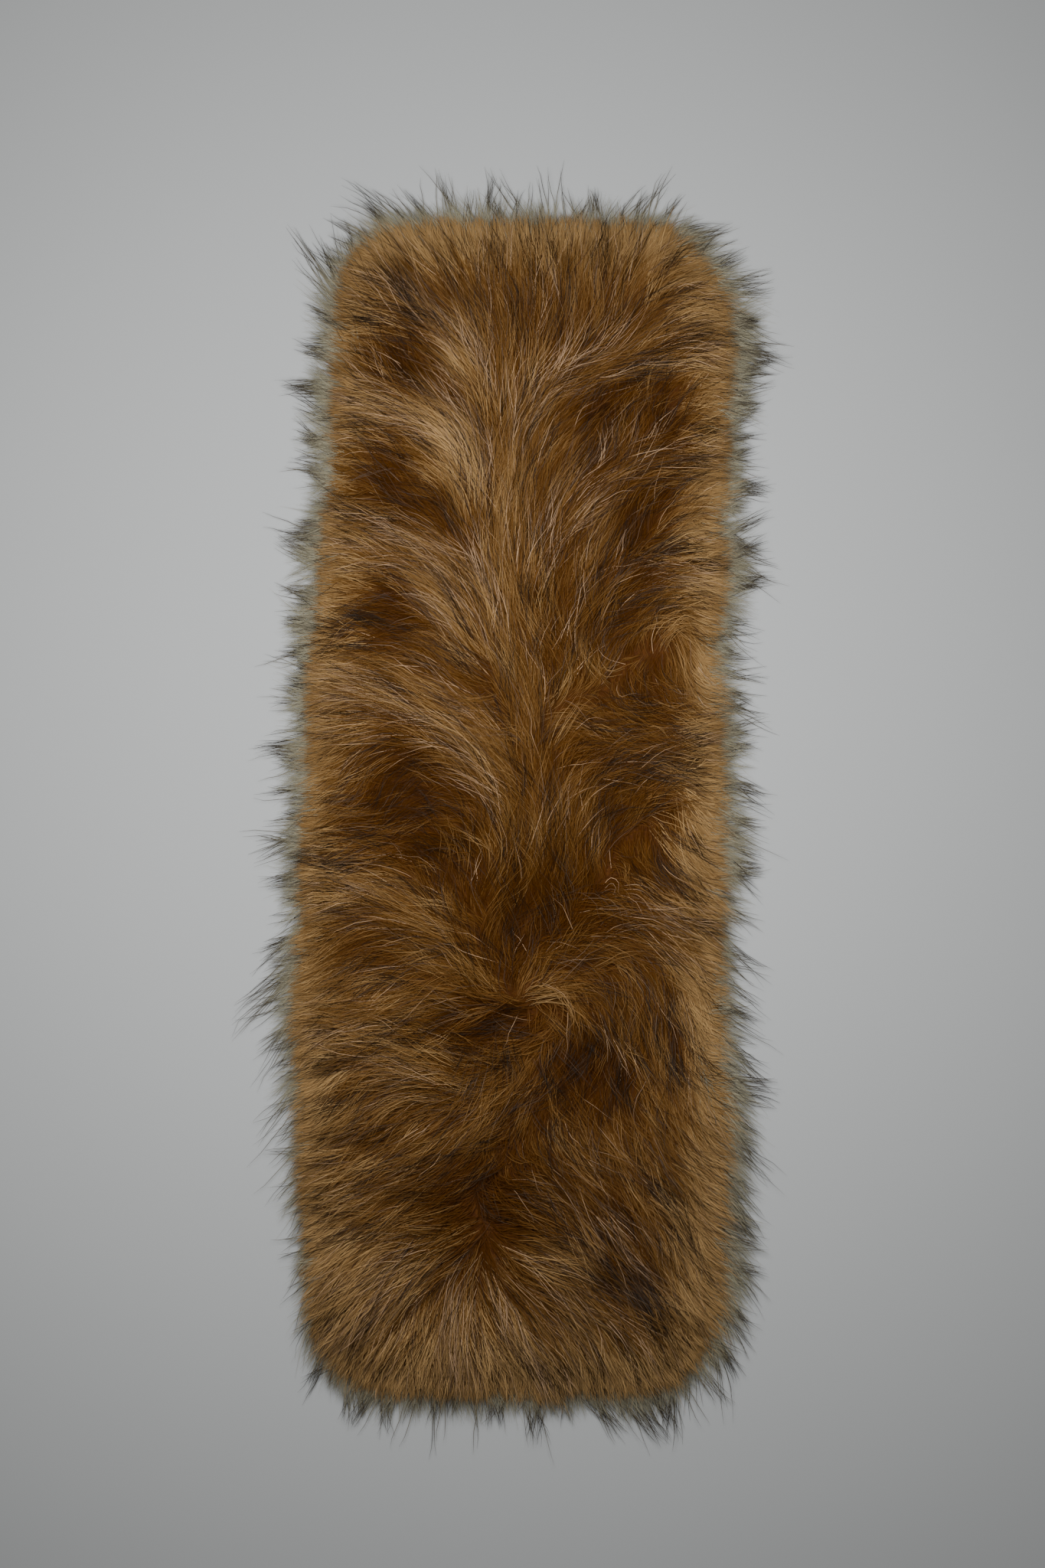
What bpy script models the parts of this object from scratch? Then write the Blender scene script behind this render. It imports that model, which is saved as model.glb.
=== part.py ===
"""Fur collar wrap: one panel of long-pile fur fabric, lying flat with its pile up.

Metres, +Z up. The origin is on the surface that the wrap lies on, under its middle.
+Y runs along the wrap, towards its narrower end, and +X runs across it.

The knitted ground is the one panel that is cut. The pile covers it and falls over its cut edge
all round, and the longest hairs, the guard hairs, reach a little further as a thin fringe.
"""

import math
from collections import namedtuple

import bmesh
import bpy
import numpy as np

# ---------------------------------------------------------------- sizes

CLOTH_LENGTH = 0.800
CLOTH_THICKNESS = 0.002
CORNER_RADIUS_NARROW_END = 0.030
CORNER_RADIUS_WIDE_END = 0.042
SIDE_SMOOTHING = 0.045

PILE_OVERHANG = 0.030
PILE_EDGE_HEIGHT = 0.007
PILE_LOFT = 0.038
PILE_SHOULDER = 0.050

FRINGE_REACH = 0.028
FRINGE_ROOT_HEIGHT = 0.006
FRINGE_TIP_HEIGHT = 0.002

GAP = 0.0003

# The cloth's half-widths, from the middle line to each cut edge, at stations along it.
Station = namedtuple("Station", "y left right")
CLOTH_SIDES = (
    Station(0.400, 0.097, 0.127),
    Station(0.320, 0.099, 0.128),
    Station(0.250, 0.101, 0.127),
    Station(0.120, 0.117, 0.121),
    Station(-0.010, 0.121, 0.124),
    Station(-0.150, 0.130, 0.124),
    Station(-0.210, 0.130, 0.130),
    Station(-0.280, 0.127, 0.130),
    Station(-0.350, 0.124, 0.127),
    Station(-0.400, 0.119, 0.121),
)

# Soft hollows, where the hair parts and lies down: centre, reach across and along, and depth.
Hollow = namedtuple("Hollow", "x y across along depth")
HOLLOWS = (
    Hollow(-0.085, 0.335, 0.035, 0.022, 0.011),
    Hollow(-0.088, 0.238, 0.042, 0.030, 0.014),
    Hollow(-0.097, 0.145, 0.036, 0.030, 0.012),
    Hollow(-0.078, 0.012, 0.048, 0.040, 0.014),
    Hollow(0.072, 0.290, 0.028, 0.020, 0.010),
    Hollow(0.117, 0.288, 0.025, 0.018, 0.009),
    Hollow(0.098, 0.205, 0.030, 0.034, 0.010),
    Hollow(0.095, 0.085, 0.030, 0.022, 0.008),
    Hollow(0.103, -0.020, 0.025, 0.034, 0.008),
    Hollow(0.015, -0.075, 0.040, 0.034, 0.010),
    Hollow(-0.015, -0.155, 0.028, 0.018, 0.010),
    Hollow(0.060, -0.195, 0.045, 0.028, 0.010),
    Hollow(-0.028, -0.300, 0.045, 0.032, 0.012),
    Hollow(0.090, -0.345, 0.034, 0.026, 0.008),
)

# Crests, where combed-up locks lie over a hollow: root, tip, width of the ridge, and rise.
Crest = namedtuple("Crest", "root_x root_y tip_x tip_y width rise")
CRESTS = (
    Crest(-0.035, 0.345, -0.110, 0.385, 0.018, 0.003),
    Crest(-0.030, 0.240, -0.115, 0.300, 0.017, 0.006),
    Crest(-0.055, 0.180, -0.125, 0.212, 0.017, 0.005),
    Crest(-0.015, 0.020, -0.115, 0.085, 0.018, 0.006),
    Crest(0.000, -0.135, -0.125, -0.050, 0.018, 0.005),
    Crest(0.010, 0.290, 0.140, 0.332, 0.018, 0.006),
    Crest(0.000, 0.190, 0.130, 0.257, 0.018, 0.005),
    Crest(0.035, 0.125, 0.140, 0.180, 0.018, 0.004),
    Crest(0.050, 0.015, 0.130, 0.060, 0.018, 0.005),
    Crest(0.060, -0.095, 0.140, -0.085, 0.020, 0.004),
)

# How finely the faceted solids are cut.
SMOOTHING_SAMPLES = 9
CORNER_STEPS = 10
SIDE_STEP = 0.025
EDGE_BANDS = (0.0, 0.0025, 0.008, 0.018, 0.033, 0.050)
GRID_STEP = 0.020

CLOTH_COLOUR = (0.30, 0.24, 0.18)
PILE_COLOUR = (0.27, 0.16, 0.07)
FRINGE_COLOUR = (0.09, 0.075, 0.06)


# ---------------------------------------------------------------- outline

SIGNS = {"left": -1, "right": 1}


def side(y, name):
    """The cloth's half-width at y on the side called name, with the stations' corners smoothed."""
    stations = CLOTH_SIDES[::-1]
    heights = [station.y for station in stations]
    widths = [getattr(station, name) for station in stations]
    window = y + np.linspace(-SIDE_SMOOTHING, SIDE_SMOOTHING, SMOOTHING_SAMPLES)
    return float(np.mean(np.interp(window, heights, widths)))


def corner(name, centre_y, radius, reach, quarter):
    """A quarter-circle corner of the moved-out outline: quarter 0 is the first, anticlockwise from +X."""
    points = []
    for step in range(CORNER_STEPS + 1):
        turn = math.pi / 2 * (quarter + step / CORNER_STEPS)
        y = centre_y + radius * math.sin(turn)
        centre_x = SIGNS[name] * (side(y, name) + reach - radius)
        points.append((centre_x + radius * math.cos(turn), y))
    return points


def long_side(name, start, stop, reach):
    """Points of one long side between its two corners."""
    count = round(abs(stop - start) / SIDE_STEP)
    levels = [start + (stop - start) * step / count for step in range(1, count)]
    return [(SIGNS[name] * (side(y, name) + reach), y) for y in levels]


def outline(reach):
    """The cloth's outline moved out by reach: (x, y) points, anticlockwise seen from above."""
    end = CLOTH_LENGTH / 2 + reach
    narrow = CORNER_RADIUS_NARROW_END + reach
    wide = CORNER_RADIUS_WIDE_END + reach
    return (
        corner("right", end - narrow, narrow, reach, 0)
        + corner("left", end - narrow, narrow, reach, 1)
        + long_side("left", end - narrow, wide - end, reach)
        + corner("left", wide - end, wide, reach, 2)
        + corner("right", wide - end, wide, reach, 3)
        + long_side("right", wide - end, end - narrow, reach)
    )


def span(y, reach):
    """The x of the moved-out outline's left and right edges at y, its rounded corners included."""
    end = CLOTH_LENGTH / 2 + reach
    radius = (CORNER_RADIUS_NARROW_END if y > 0 else CORNER_RADIUS_WIDE_END) + reach
    past_centre = max(0.0, abs(y) - (end - radius))
    inset = radius - math.sqrt(max(0.0, radius ** 2 - past_centre ** 2))
    return -(side(y, "left") + reach - inset), side(y, "right") + reach - inset


def stations_between(low, high):
    """Positions from low to high: close together at both edges, GRID_STEP apart between them."""
    inner_low, inner_high = low + EDGE_BANDS[-1], high - EDGE_BANDS[-1]
    count = max(2, round((inner_high - inner_low) / GRID_STEP))
    inner = [inner_low + (inner_high - inner_low) * step / count for step in range(1, count)]
    return [low + band for band in EDGE_BANDS] + inner + [high - band for band in EDGE_BANDS[::-1]]


# ---------------------------------------------------------------- relief of the pile

def distance_to_edge(x, y, rim):
    """How far a point lies inside the closed outline rim."""
    starts = np.array(rim)
    along = np.roll(starts, -1, axis=0) - starts
    to_point = np.array((x, y)) - starts
    share = np.clip((to_point * along).sum(axis=1) / (along ** 2).sum(axis=1), 0, 1)
    return float(np.hypot(*(to_point - along * share[:, None]).T).min())


def hollow_depth(x, y):
    """How far the partings sink the pile at a point."""
    depths = []
    for hollow in HOLLOWS:
        far = ((x - hollow.x) / hollow.across) ** 2 + ((y - hollow.y) / hollow.along) ** 2
        depths.append(hollow.depth * math.exp(-far))
    return max(depths)


def crest_rise(x, y):
    """How far the combed-up locks lift the pile at a point."""
    rises = []
    for crest in CRESTS:
        root = np.array((crest.root_x, crest.root_y))
        run = np.array((crest.tip_x, crest.tip_y)) - root
        share = float(np.clip(np.dot((x, y) - root, run) / np.dot(run, run), 0, 1))
        off = math.dist((x, y), root + run * share)
        rises.append(crest.rise * math.exp(-((off / crest.width) ** 2)))
    return max(rises)


def pile_height(x, y, rim):
    """Height of the pile's top: a rounded shoulder all round, with the hollows and crests inside."""
    inside = distance_to_edge(x, y, rim)
    climb = min(1.0, inside / PILE_SHOULDER)
    shoulder = math.sqrt(1 - (1 - climb) ** 2)
    relief = crest_rise(x, y) - hollow_depth(x, y)
    return PILE_EDGE_HEIGHT + shoulder * (PILE_LOFT - PILE_EDGE_HEIGHT + relief)


# ---------------------------------------------------------------- building

def material(name, colour, roughness):
    """A plain Principled material."""
    made = bpy.data.materials.new(name)
    made.use_nodes = True
    shader = made.node_tree.nodes["Principled BSDF"]
    shader.inputs["Base Color"].default_value = (*colour, 1.0)
    shader.inputs["Roughness"].default_value = roughness
    made.diffuse_color = (*colour, 1.0)
    return made


def collection(name):
    """A new collection in the scene."""
    made = bpy.data.collections.new(name)
    bpy.context.scene.collection.children.link(made)
    return made


def mesh_object(name, shape, home, finish=None):
    """An object made of a bmesh, which is freed."""
    bmesh.ops.recalc_face_normals(shape, faces=shape.faces)
    mesh = bpy.data.meshes.new(name)
    shape.to_mesh(mesh)
    shape.free()
    made = bpy.data.objects.new(name, mesh)
    home.objects.link(made)
    if finish:
        mesh.materials.append(finish)
    return made


def slab(points, low, high):
    """A flat plate of the given outline between two heights."""
    shape = bmesh.new()
    base = shape.faces.new([shape.verts.new((x, y, low)) for x, y in points])
    lifted = bmesh.ops.extrude_face_region(shape, geom=[base], use_keep_orig=True)
    corners = [item for item in lifted["geom"] if isinstance(item, bmesh.types.BMVert)]
    bmesh.ops.translate(shape, verts=corners, vec=(0, 0, high - low))
    return shape


def backing_cloth(home):
    """The cut panel of knitted ground, flat on the surface."""
    shape = slab(outline(0.0), 0.0, CLOTH_THICKNESS)
    finish = material("knit_ground", CLOTH_COLOUR, 0.9)
    return mesh_object("backing_cloth", shape, home, finish)


def fur_pile(home, cutters):
    """The dense pile: a domed body over the cloth, with the cloth's room cut out of its underside."""
    rim = outline(PILE_OVERHANG)
    half = CLOTH_LENGTH / 2 + PILE_OVERHANG
    rows = [(y, stations_between(*span(y, PILE_OVERHANG))) for y in stations_between(-half, half)]
    columns = max(len(xs) for y, xs in rows)
    shape = bmesh.new()
    grid = []
    for y, xs in rows:
        places = np.interp(np.linspace(0, 1, columns), np.linspace(0, 1, len(xs)), xs)
        grid.append([shape.verts.new((x, y, pile_height(x, y, rim))) for x in places])
    for row, next_row in zip(grid, grid[1:]):
        for column in range(columns - 1):
            shape.faces.new((row[column], row[column + 1], next_row[column + 1], next_row[column]))
    edges = [edge for edge in shape.edges if edge.is_boundary]
    walls = bmesh.ops.extrude_edge_only(shape, edges=edges)
    for item in walls["geom"]:
        if isinstance(item, bmesh.types.BMVert):
            item.co.z = 0.0
    bmesh.ops.edgeloop_fill(shape, edges=[edge for edge in shape.edges if edge.is_boundary])
    pile = mesh_object("fur_pile", shape, home, material("fur_pile", PILE_COLOUR, 0.6))

    room = slab(outline(GAP), -CLOTH_THICKNESS, CLOTH_THICKNESS + GAP)
    cutter = mesh_object("cloth_room", room, cutters)
    cutter.hide_render = True
    cutter.display_type = "WIRE"
    cut = pile.modifiers.new("cloth_room", "BOOLEAN")
    cut.operation = "DIFFERENCE"
    cut.object = cutter
    return pile


def guard_hair_fringe(home):
    """The guard hairs' reach: a thin ring round the pile, tapering outwards."""
    inner = outline(PILE_OVERHANG + GAP)
    outer = outline(PILE_OVERHANG + FRINGE_REACH)
    section = (
        (inner, 0.0),
        (outer, 0.0),
        (outer, FRINGE_TIP_HEIGHT),
        (inner, FRINGE_ROOT_HEIGHT),
    )
    shape = bmesh.new()
    rings = [[shape.verts.new((x, y, height)) for x, y in points] for points, height in section]
    for ring, next_ring in zip(rings, rings[1:] + rings[:1]):
        for start in range(len(ring)):
            stop = (start + 1) % len(ring)
            shape.faces.new((ring[start], ring[stop], next_ring[stop], next_ring[start]))
    return mesh_object("guard_hair_fringe", shape, home, material("guard_hair", FRINGE_COLOUR, 0.5))


def main():
    for thing in list(bpy.data.objects):
        bpy.data.objects.remove(thing)
    wrap = collection("fur_collar_wrap")
    cutters = collection("cutters")
    backing_cloth(wrap)
    fur_pile(wrap, cutters)
    guard_hair_fringe(wrap)


main()
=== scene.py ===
"""Looks of the fur collar wrap: its knitted ground, dense pile, locks, guard hairs and edge fringe."""

import math
from collections import namedtuple

import bpy
import numpy as np
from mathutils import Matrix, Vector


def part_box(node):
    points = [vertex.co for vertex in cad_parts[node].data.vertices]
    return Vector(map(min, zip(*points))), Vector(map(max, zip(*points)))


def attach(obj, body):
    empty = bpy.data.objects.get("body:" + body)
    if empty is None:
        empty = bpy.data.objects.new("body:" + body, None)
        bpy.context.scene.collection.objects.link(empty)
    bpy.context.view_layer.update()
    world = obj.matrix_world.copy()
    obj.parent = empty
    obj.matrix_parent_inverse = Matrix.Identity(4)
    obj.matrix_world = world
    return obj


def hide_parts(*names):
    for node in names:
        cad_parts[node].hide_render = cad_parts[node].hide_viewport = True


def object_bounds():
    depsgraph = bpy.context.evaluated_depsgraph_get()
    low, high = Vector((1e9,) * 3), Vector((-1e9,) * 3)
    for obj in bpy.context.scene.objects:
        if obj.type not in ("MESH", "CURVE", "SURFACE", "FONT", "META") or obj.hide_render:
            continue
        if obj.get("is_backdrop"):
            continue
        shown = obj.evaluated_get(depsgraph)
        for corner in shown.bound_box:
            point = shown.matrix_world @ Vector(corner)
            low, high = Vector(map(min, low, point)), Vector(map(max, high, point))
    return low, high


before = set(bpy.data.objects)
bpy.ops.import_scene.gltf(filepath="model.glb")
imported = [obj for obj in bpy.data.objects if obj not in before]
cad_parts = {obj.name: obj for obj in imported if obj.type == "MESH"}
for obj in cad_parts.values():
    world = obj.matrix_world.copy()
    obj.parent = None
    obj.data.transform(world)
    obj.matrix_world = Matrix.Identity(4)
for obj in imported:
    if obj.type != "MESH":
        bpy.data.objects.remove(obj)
CAD_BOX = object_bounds()

bl_info = {
    "name": "Fur Collar Wrap",
    "version": (1, 0, 0),
    "blender": (4, 5, 0),
    "location": "3D View > Sidebar > Fur Wrap",
    "description": "Builds the hair, ground cloth and studio stage of a long-pile fur wrap",
    "category": "Object",
}

# ---------------------------------------------------------------- charts, in millimetres and degrees
# Every place is measured from the middle of the wrap, +Y towards its narrower end.
# A heading is the way hair points, root to tip: 0 is +X and 90 is +Y.

MILLIMETRES = 1000  # in a metre


def in_metres(length):
    """A length or a place in millimetres, in metres."""
    if isinstance(length, tuple):
        return tuple(part / MILLIMETRES for part in length)
    return length / MILLIMETRES


def charted(kind, lengths, rows):
    """The rows of a chart as records: the first so many fields of a row are lengths or places."""
    return [kind(*map(in_metres, row[:lengths]), *row[lengths:]) for row in rows]



# Combing: the heading on eight lines along the wrap, at stations from the narrow end to the wide one.
COMBING_LINES = (-150, -100, -50, 0, 50, 100, 125, 150)
COMBING = {
    430: (140, 140, 120, 100, 92, 60, 20, 10),
    400: (150, 140, 112, 106, 86, 70, 0, -4),
    375: (150, 140, 124, 96, 80, 60, 0, -10),
    350: (160, 132, 136, 94, 100, 56, 10, -8),
    325: (156, 100, 118, 88, 20, 16, 0, -10),
    300: (162, 162, 150, 72, 44, 96, 70, 10),
    275: (170, 160, 148, 78, 58, 98, -36, 8),
    250: (168, 152, 138, 92, 50, 28, 24, 6),
    225: (174, 180, 132, 88, 50, 78, 64, 8),
    200: (174, 164, 136, 82, 76, 82, -50, 0),
    175: (184, 160, 148, 100, 86, 22, -12, -14),
    150: (190, 196, 140, 112, 56, 40, -36, -10),
    125: (186, 182, 132, 114, 76, 86, -76, -10),
    100: (186, 164, 142, 96, 116, -98, -84, -8),
    75: (188, 166, 150, 96, -24, -76, -80, -10),
    50: (200, 204, 150, 112, 8, 8, -4, -14),
    25: (204, 222, 144, 128, 58, 16, -16, -4),
    0: (212, 220, 184, 118, 64, 88, -88, -12),
    -25: (204, 184, 110, 80, 90, -88, -48, -16),
    -50: (206, 172, 80, 72, 102, -68, -62, -16),
    -75: (216, 178, 144, 76, 40, -26, -38, -50),
    -100: (216, 194, 160, 86, 32, -34, -44, -46),
    -125: (220, 218, 164, 122, -18, -60, -70, -44),
    -150: (208, 192, 180, 236, -40, -88, -84, -24),
    -175: (218, 178, 164, 238, -36, -88, -82, -38),
    -200: (228, 208, 164, 240, -66, -74, -74, -34),
    -225: (226, 216, 220, 234, -64, -68, -64, -48),
    -250: (214, 204, 214, 230, -60, -56, -56, -56),
    -275: (220, 206, 204, -10, -56, -52, -52, -56),
    -300: (224, 196, 190, 8, -50, -58, -66, -52),
    -325: (236, 220, 188, -14, -32, -64, -72, -44),
    -350: (244, 222, 250, -38, -30, -52, -68, -62),
    -375: (248, 232, 262, -44, -50, -56, -64, -60),
    -400: (256, 236, 260, -58, -68, -66, -74, -60),
    -430: (262, 264, 262, 258, -66, -56, -64, -72),
}

# Crests: bundles of locks swept over a parting, from root by way of bend to tip. Their tint is a painted
# highlight on the locks where they bend over the crest.
Crest = namedtuple("Crest", "root bend tip width rise tint")
CRESTS = charted(Crest, 5, (
    ((-20, 305), (-48, 342), (-90, 362), 14, 3, 0.10),
    ((-26, 225), (-52, 276), (-135, 300), 18, 6, 0.28),
    ((-12, 115), (-48, 182), (-140, 212), 14, 6, 0.16),
    ((-30, 130), (-72, 178), (-135, 190), 10, 3, 0.12),
    ((-20, 50), (-78, 78), (-140, 90), 12, 5, 0.16),
    ((-8, 5), (-48, 50), (-105, 56), 12, 6, 0.14),
    ((-8, -138), (-60, -88), (-140, -45), 12, 6, 0.10),
    ((-60, -140), (-100, -148), (-142, -160), 10, 3, 0.12),
    ((-48, -200), (-75, -186), (-112, -168), 14, 4, 0.06),
    ((8, 300), (50, 317), (135, 332), 9, 6, 0.10),
    ((0, 250), (12, 285), (34, 306), 9, 3, 0.08),
    ((18, 165), (56, 228), (145, 262), 12, 6, 0.08),
    ((42, 100), (68, 160), (150, 182), 14, 6, 0.06),
    ((38, -5), (66, 35), (145, 54), 12, 5, 0.03),
    ((22, -105), (75, -76), (140, -88), 14, 4, 0.06),
    ((12, -130), (46, -134), (72, -158), 9, 3, 0.12),
    ((-35, -318), (-75, -330), (-110, -365), 14, 3, 0.08),
    ((-30, -325), (-36, -362), (-34, -400), 10, 3, 0.14),
    ((-18, -325), (2, -365), (20, -400), 10, 3, 0.14),
    ((-5, -318), (30, -338), (72, -366), 11, 3, 0.10),
    ((22, -248), (50, -275), (70, -310), 12, 3, 0.08),
))

# Partings: soft hollows where the hair lies down and its rusty roots show. Painted shade also darkens the
# hair there, as much as the shade column says.
Parting = namedtuple("Parting", "x y across along depth shade")
PARTINGS = charted(Parting, 5, (
    (-82, 332, 26, 24, 13, 1.25),
    (72, 296, 30, 18, 11, 1.2),
    (112, 295, 18, 20, 9, 1.0),
    (-84, 234, 36, 24, 14, 1.1),
    (92, 212, 22, 32, 12, 1.0),
    (-96, 144, 26, 28, 12, 1.1),
    (56, 136, 34, 24, 6, 0.6),
    (94, 80, 22, 20, 8, 0.7),
    (-78, 14, 42, 32, 14, 1.1),
    (-46, -34, 32, 24, 10, 1.0),
    (82, -15, 26, 30, 8, 0.8),
    (14, -78, 44, 34, 12, 0.95),
    (-20, -158, 36, 22, 11, 1.0),
    (58, -190, 42, 30, 11, 1.0),
    (0, -245, 26, 24, 8, 0.5),
    (-24, -290, 46, 36, 13, 0.85),
    (84, -345, 30, 18, 5, 0.6),
    (112, 222, 10, 30, 8, 0.9),
    (110, -15, 9, 45, 7, 0.8),
    (116, -165, 8, 36, 6, 0.8),
))

# Patches of lighter or darker hair.
Patch = namedtuple("Patch", "x y across along tint")
PATCHES = charted(Patch, 4, (
    (0, 424, 120, 16, 0.20),
    (-75, 402, 44, 12, 0.12),
    (100, 400, 14, 14, 0.14),
    (0, 375, 90, 22, -0.08),
    (-100, 362, 16, 20, 0.12),
    (-50, 346, 18, 18, 0.24),
    (145, 350, 14, 60, 0.14),
    (30, 335, 40, 18, -0.12),
    (124, 334, 12, 18, -0.12),
    (-102, 326, 12, 12, -0.12),
    (-47, 266, 18, 26, 0.30),
    (-75, 251, 12, 12, 0.32),
    (-100, 268, 17, 17, -0.24),
    (-116, 240, 18, 16, -0.10),
    (-135, 250, 14, 60, -0.12),
    (62, 254, 22, 17, -0.36),
    (121, 270, 14, 16, -0.46),
    (100, 276, 10, 10, 0.12),
    (-24, 225, 14, 15, -0.32),
    (-50, 202, 14, 14, -0.12),
    (0, 200, 22, 80, 0.09),
    (32, 197, 20, 28, -0.17),
    (136, 200, 18, 70, 0.15),
    (-76, 176, 14, 12, 0.14),
    (97, 175, 19, 13, -0.34),
    (148, 174, 14, 16, 0.24),
    (-50, 146, 20, 26, 0.14),
    (-22, 152, 18, 45, -0.20),
    (22, 135, 14, 28, -0.08),
    (126, 135, 10, 30, -0.08),
    (40, 78, 18, 10, 0.14),
    (-90, 61, 24, 24, -0.14),
    (0, 52, 12, 10, 0.12),
    (60, 42, 44, 20, -0.22),
    (122, 50, 14, 14, -0.18),
    (140, 10, 16, 80, 0.22),
    (126, 2, 10, 14, -0.12),
    (88, -4, 20, 18, 0.18),
    (125, -42, 10, 22, 0.24),
    (-128, -23, 11, 20, -0.20),
    (-98, -14, 14, 22, -0.14),
    (-64, -53, 20, 13, 0.28),
    (-108, -94, 28, 18, -0.22),
    (75, -77, 28, 14, -0.24),
    (50, -60, 120, 220, -0.05),
    (20, -127, 28, 13, 0.20),
    (76, -133, 13, 20, -0.20),
    (-152, -150, 12, 50, 0.10),
    (138, -170, 15, 60, 0.26),
    (-73, -177, 15, 13, 0.26),
    (-46, -188, 12, 18, -0.16),
    (0, -195, 12, 12, 0.14),
    (100, -190, 10, 24, 0.12),
    (-150, -213, 14, 36, 0.40),
    (25, -224, 12, 12, -0.10),
    (70, -225, 16, 14, -0.12),
    (72, -296, 18, 18, -0.40),
    (145, -290, 14, 60, 0.20),
    (-105, -332, 34, 30, 0.18),
    (-144, -314, 22, 32, 0.28),
    (-16, -333, 22, 18, -0.32),
    (47, -326, 17, 14, 0.30),
    (132, -345, 20, 50, 0.28),
    (48, -375, 14, 12, 0.16),
    (-122, -382, 32, 26, 0.24),
    (-47, -400, 30, 16, 0.66),
    (4, -388, 20, 16, 0.28),
    (80, -405, 60, 20, 0.22),
    (0, -422, 130, 14, 0.20),
    (-106, -424, 28, 12, 0.60),
    (25, -426, 18, 10, 0.18),
    (103, -422, 22, 13, 0.64),
))

# Tousles: places where locks lie every way, and how far they turn off the combing.
Tousle = namedtuple("Tousle", "x y across along turn")
TOUSLES = charted(Tousle, 4, (
    (10, -130, 70, 60, 2.2),
    (30, -220, 70, 50, 1.4),
    (60, 60, 50, 70, 1.6),
    (-100, -160, 40, 80, 0.8),
    (-80, 0, 40, 40, 0.8),
))

# Edges: places round the edge where the pile stands back, and where the fringe is full or thin.
Edge = namedtuple("Edge", "x y span back fringe")
EDGES = charted(Edge, 4, (
    (155, 412, 34, 11, -0.2),
    (160, 392, 14, 0, -0.7),
    (166, 345, 36, 0, 0.5),
    (160, 260, 26, 2, -0.4),
    (160, 205, 14, 5, 0.2),
    (158, 118, 24, 4, -0.5),
    (160, 60, 20, 2, -0.1),
    (160, -25, 18, 1, 0.5),
    (158, -85, 18, 3, -0.5),
    (158, -130, 40, 3, -0.35),
    (160, -185, 24, 5, 0.3),
    (165, -290, 50, 4, -0.05),
    (150, -390, 36, 3, -0.2),
    (118, -425, 24, 2, -0.1),
    (55, -432, 40, 6, -0.2),
    (-20, -432, 40, 4, -0.2),
    (-85, -430, 30, 3, -0.2),
    (0, 436, 40, 4, -0.3),
    (80, 434, 36, 5, -0.3),
    (-70, 434, 30, 5, -0.3),
    (-128, 395, 26, 1, -0.5),
    (-140, 232, 12, 0, -0.4),
    (-147, 168, 12, 0, -0.4),
    (-154, 70, 12, 0, -0.4),
    (-145, 200, 26, 2, 0.1),
    (-150, 130, 14, 0, 0.4),
    (-165, -48, 10, 0, 0.3),
    (-165, -82, 16, 0, -0.5),
    (-166, -140, 24, 0, -0.3),
    (-163, -215, 40, 3, -0.5),
    (-160, -320, 60, 4, -0.9),
    (-150, -400, 30, 3, -0.2),
))

# Streaks: thin bundles of near-black guard hairs lying over the coat, from root to tip.
Streak = namedtuple("Streak", "root tip width weight")
STREAKS = charted(Streak, 3, (
    ((46, -302), (110, -364), 9, 1.2),
    ((85, -256), (128, -318), 4, 0.7),
    ((-46, 340), (-88, 358), 8, 1.1),
    ((118, 288), (142, 268), 3, 1.2),
    ((132, 332), (170, 318), 2, 0.8),
    ((100, -5), (112, -62), 4, 0.9),
    ((112, -130), (120, -195), 6, 0.9),
    ((8, -146), (-38, -178), 6, 0.7),
    ((55, -144), (0, -188), 5, 0.6),
    ((72, -165), (56, -198), 16, 0.15),
    ((-80, 128), (-150, 122), 8, 0.5),
    ((-60, 210), (-150, 212), 4, 0.6),
    ((68, 130), (92, 178), 10, 0.5),
    ((92, 178), (150, 172), 6, 0.45),
    ((70, 16), (122, 46), 8, 0.7),
    ((-90, -34), (-150, -28), 12, 0.6),
    ((-95, -185), (-128, -208), 10, 0.4),
    ((-90, -280), (-145, -292), 5, 0.5),
    ((-115, -345), (-145, -368), 5, 0.8),
    ((55, 312), (95, 332), 6, 0.5),
    ((-12, 110), (-16, 65), 6, 0.4),
))


# ---------------------------------------------------------------- small helpers

def paint(red, green, blue):
    """A linear colour from one given in everyday 0 to 255 steps."""
    def straighten(step):
        share = step / 255
        return share / 12.92 if share <= 0.04045 else ((share + 0.055) / 1.055) ** 2.4
    return tuple(straighten(step) for step in (red, green, blue))


def bell(distance, width):
    """1 at no distance, fading smoothly to nothing past about twice the width."""
    return np.exp(-((distance / width) ** 2))


def vectors(headings):
    """Unit vectors that point along headings in degrees."""
    turns = np.radians(headings)
    return np.stack([np.cos(turns), np.sin(turns)], axis=-1)


def fading(distance, start, width):
    """1 up to start, then fading smoothly to nothing over about twice the width."""
    return bell(np.maximum(distance - start, 0), width)


def ease(share):
    """0 to 1 with a soft start and a soft stop."""
    share = np.clip(share, 0, 1)
    return share * share * (3 - 2 * share)


# ---------------------------------------------------------------- outline, from the CAD cloth

def cloth_outline():
    """The cut edge of the ground cloth: points in order round it, anticlockwise."""
    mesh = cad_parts["backing_cloth"].data
    points = np.empty(len(mesh.vertices) * 3)
    mesh.vertices.foreach_get("co", points)
    points = np.unique(points.reshape(-1, 3)[:, :2].round(6), axis=0)
    order = np.argsort(np.arctan2(points[:, 1], points[:, 0]))
    return points[order]


def moved_out(outline, reach):
    """A closed outline moved outwards by reach."""
    along = np.roll(outline, -1, axis=0) - np.roll(outline, 1, axis=0)
    along /= np.linalg.norm(along, axis=1, keepdims=True)
    return outline + reach * np.stack([along[:, 1], -along[:, 0]], axis=1)


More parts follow.
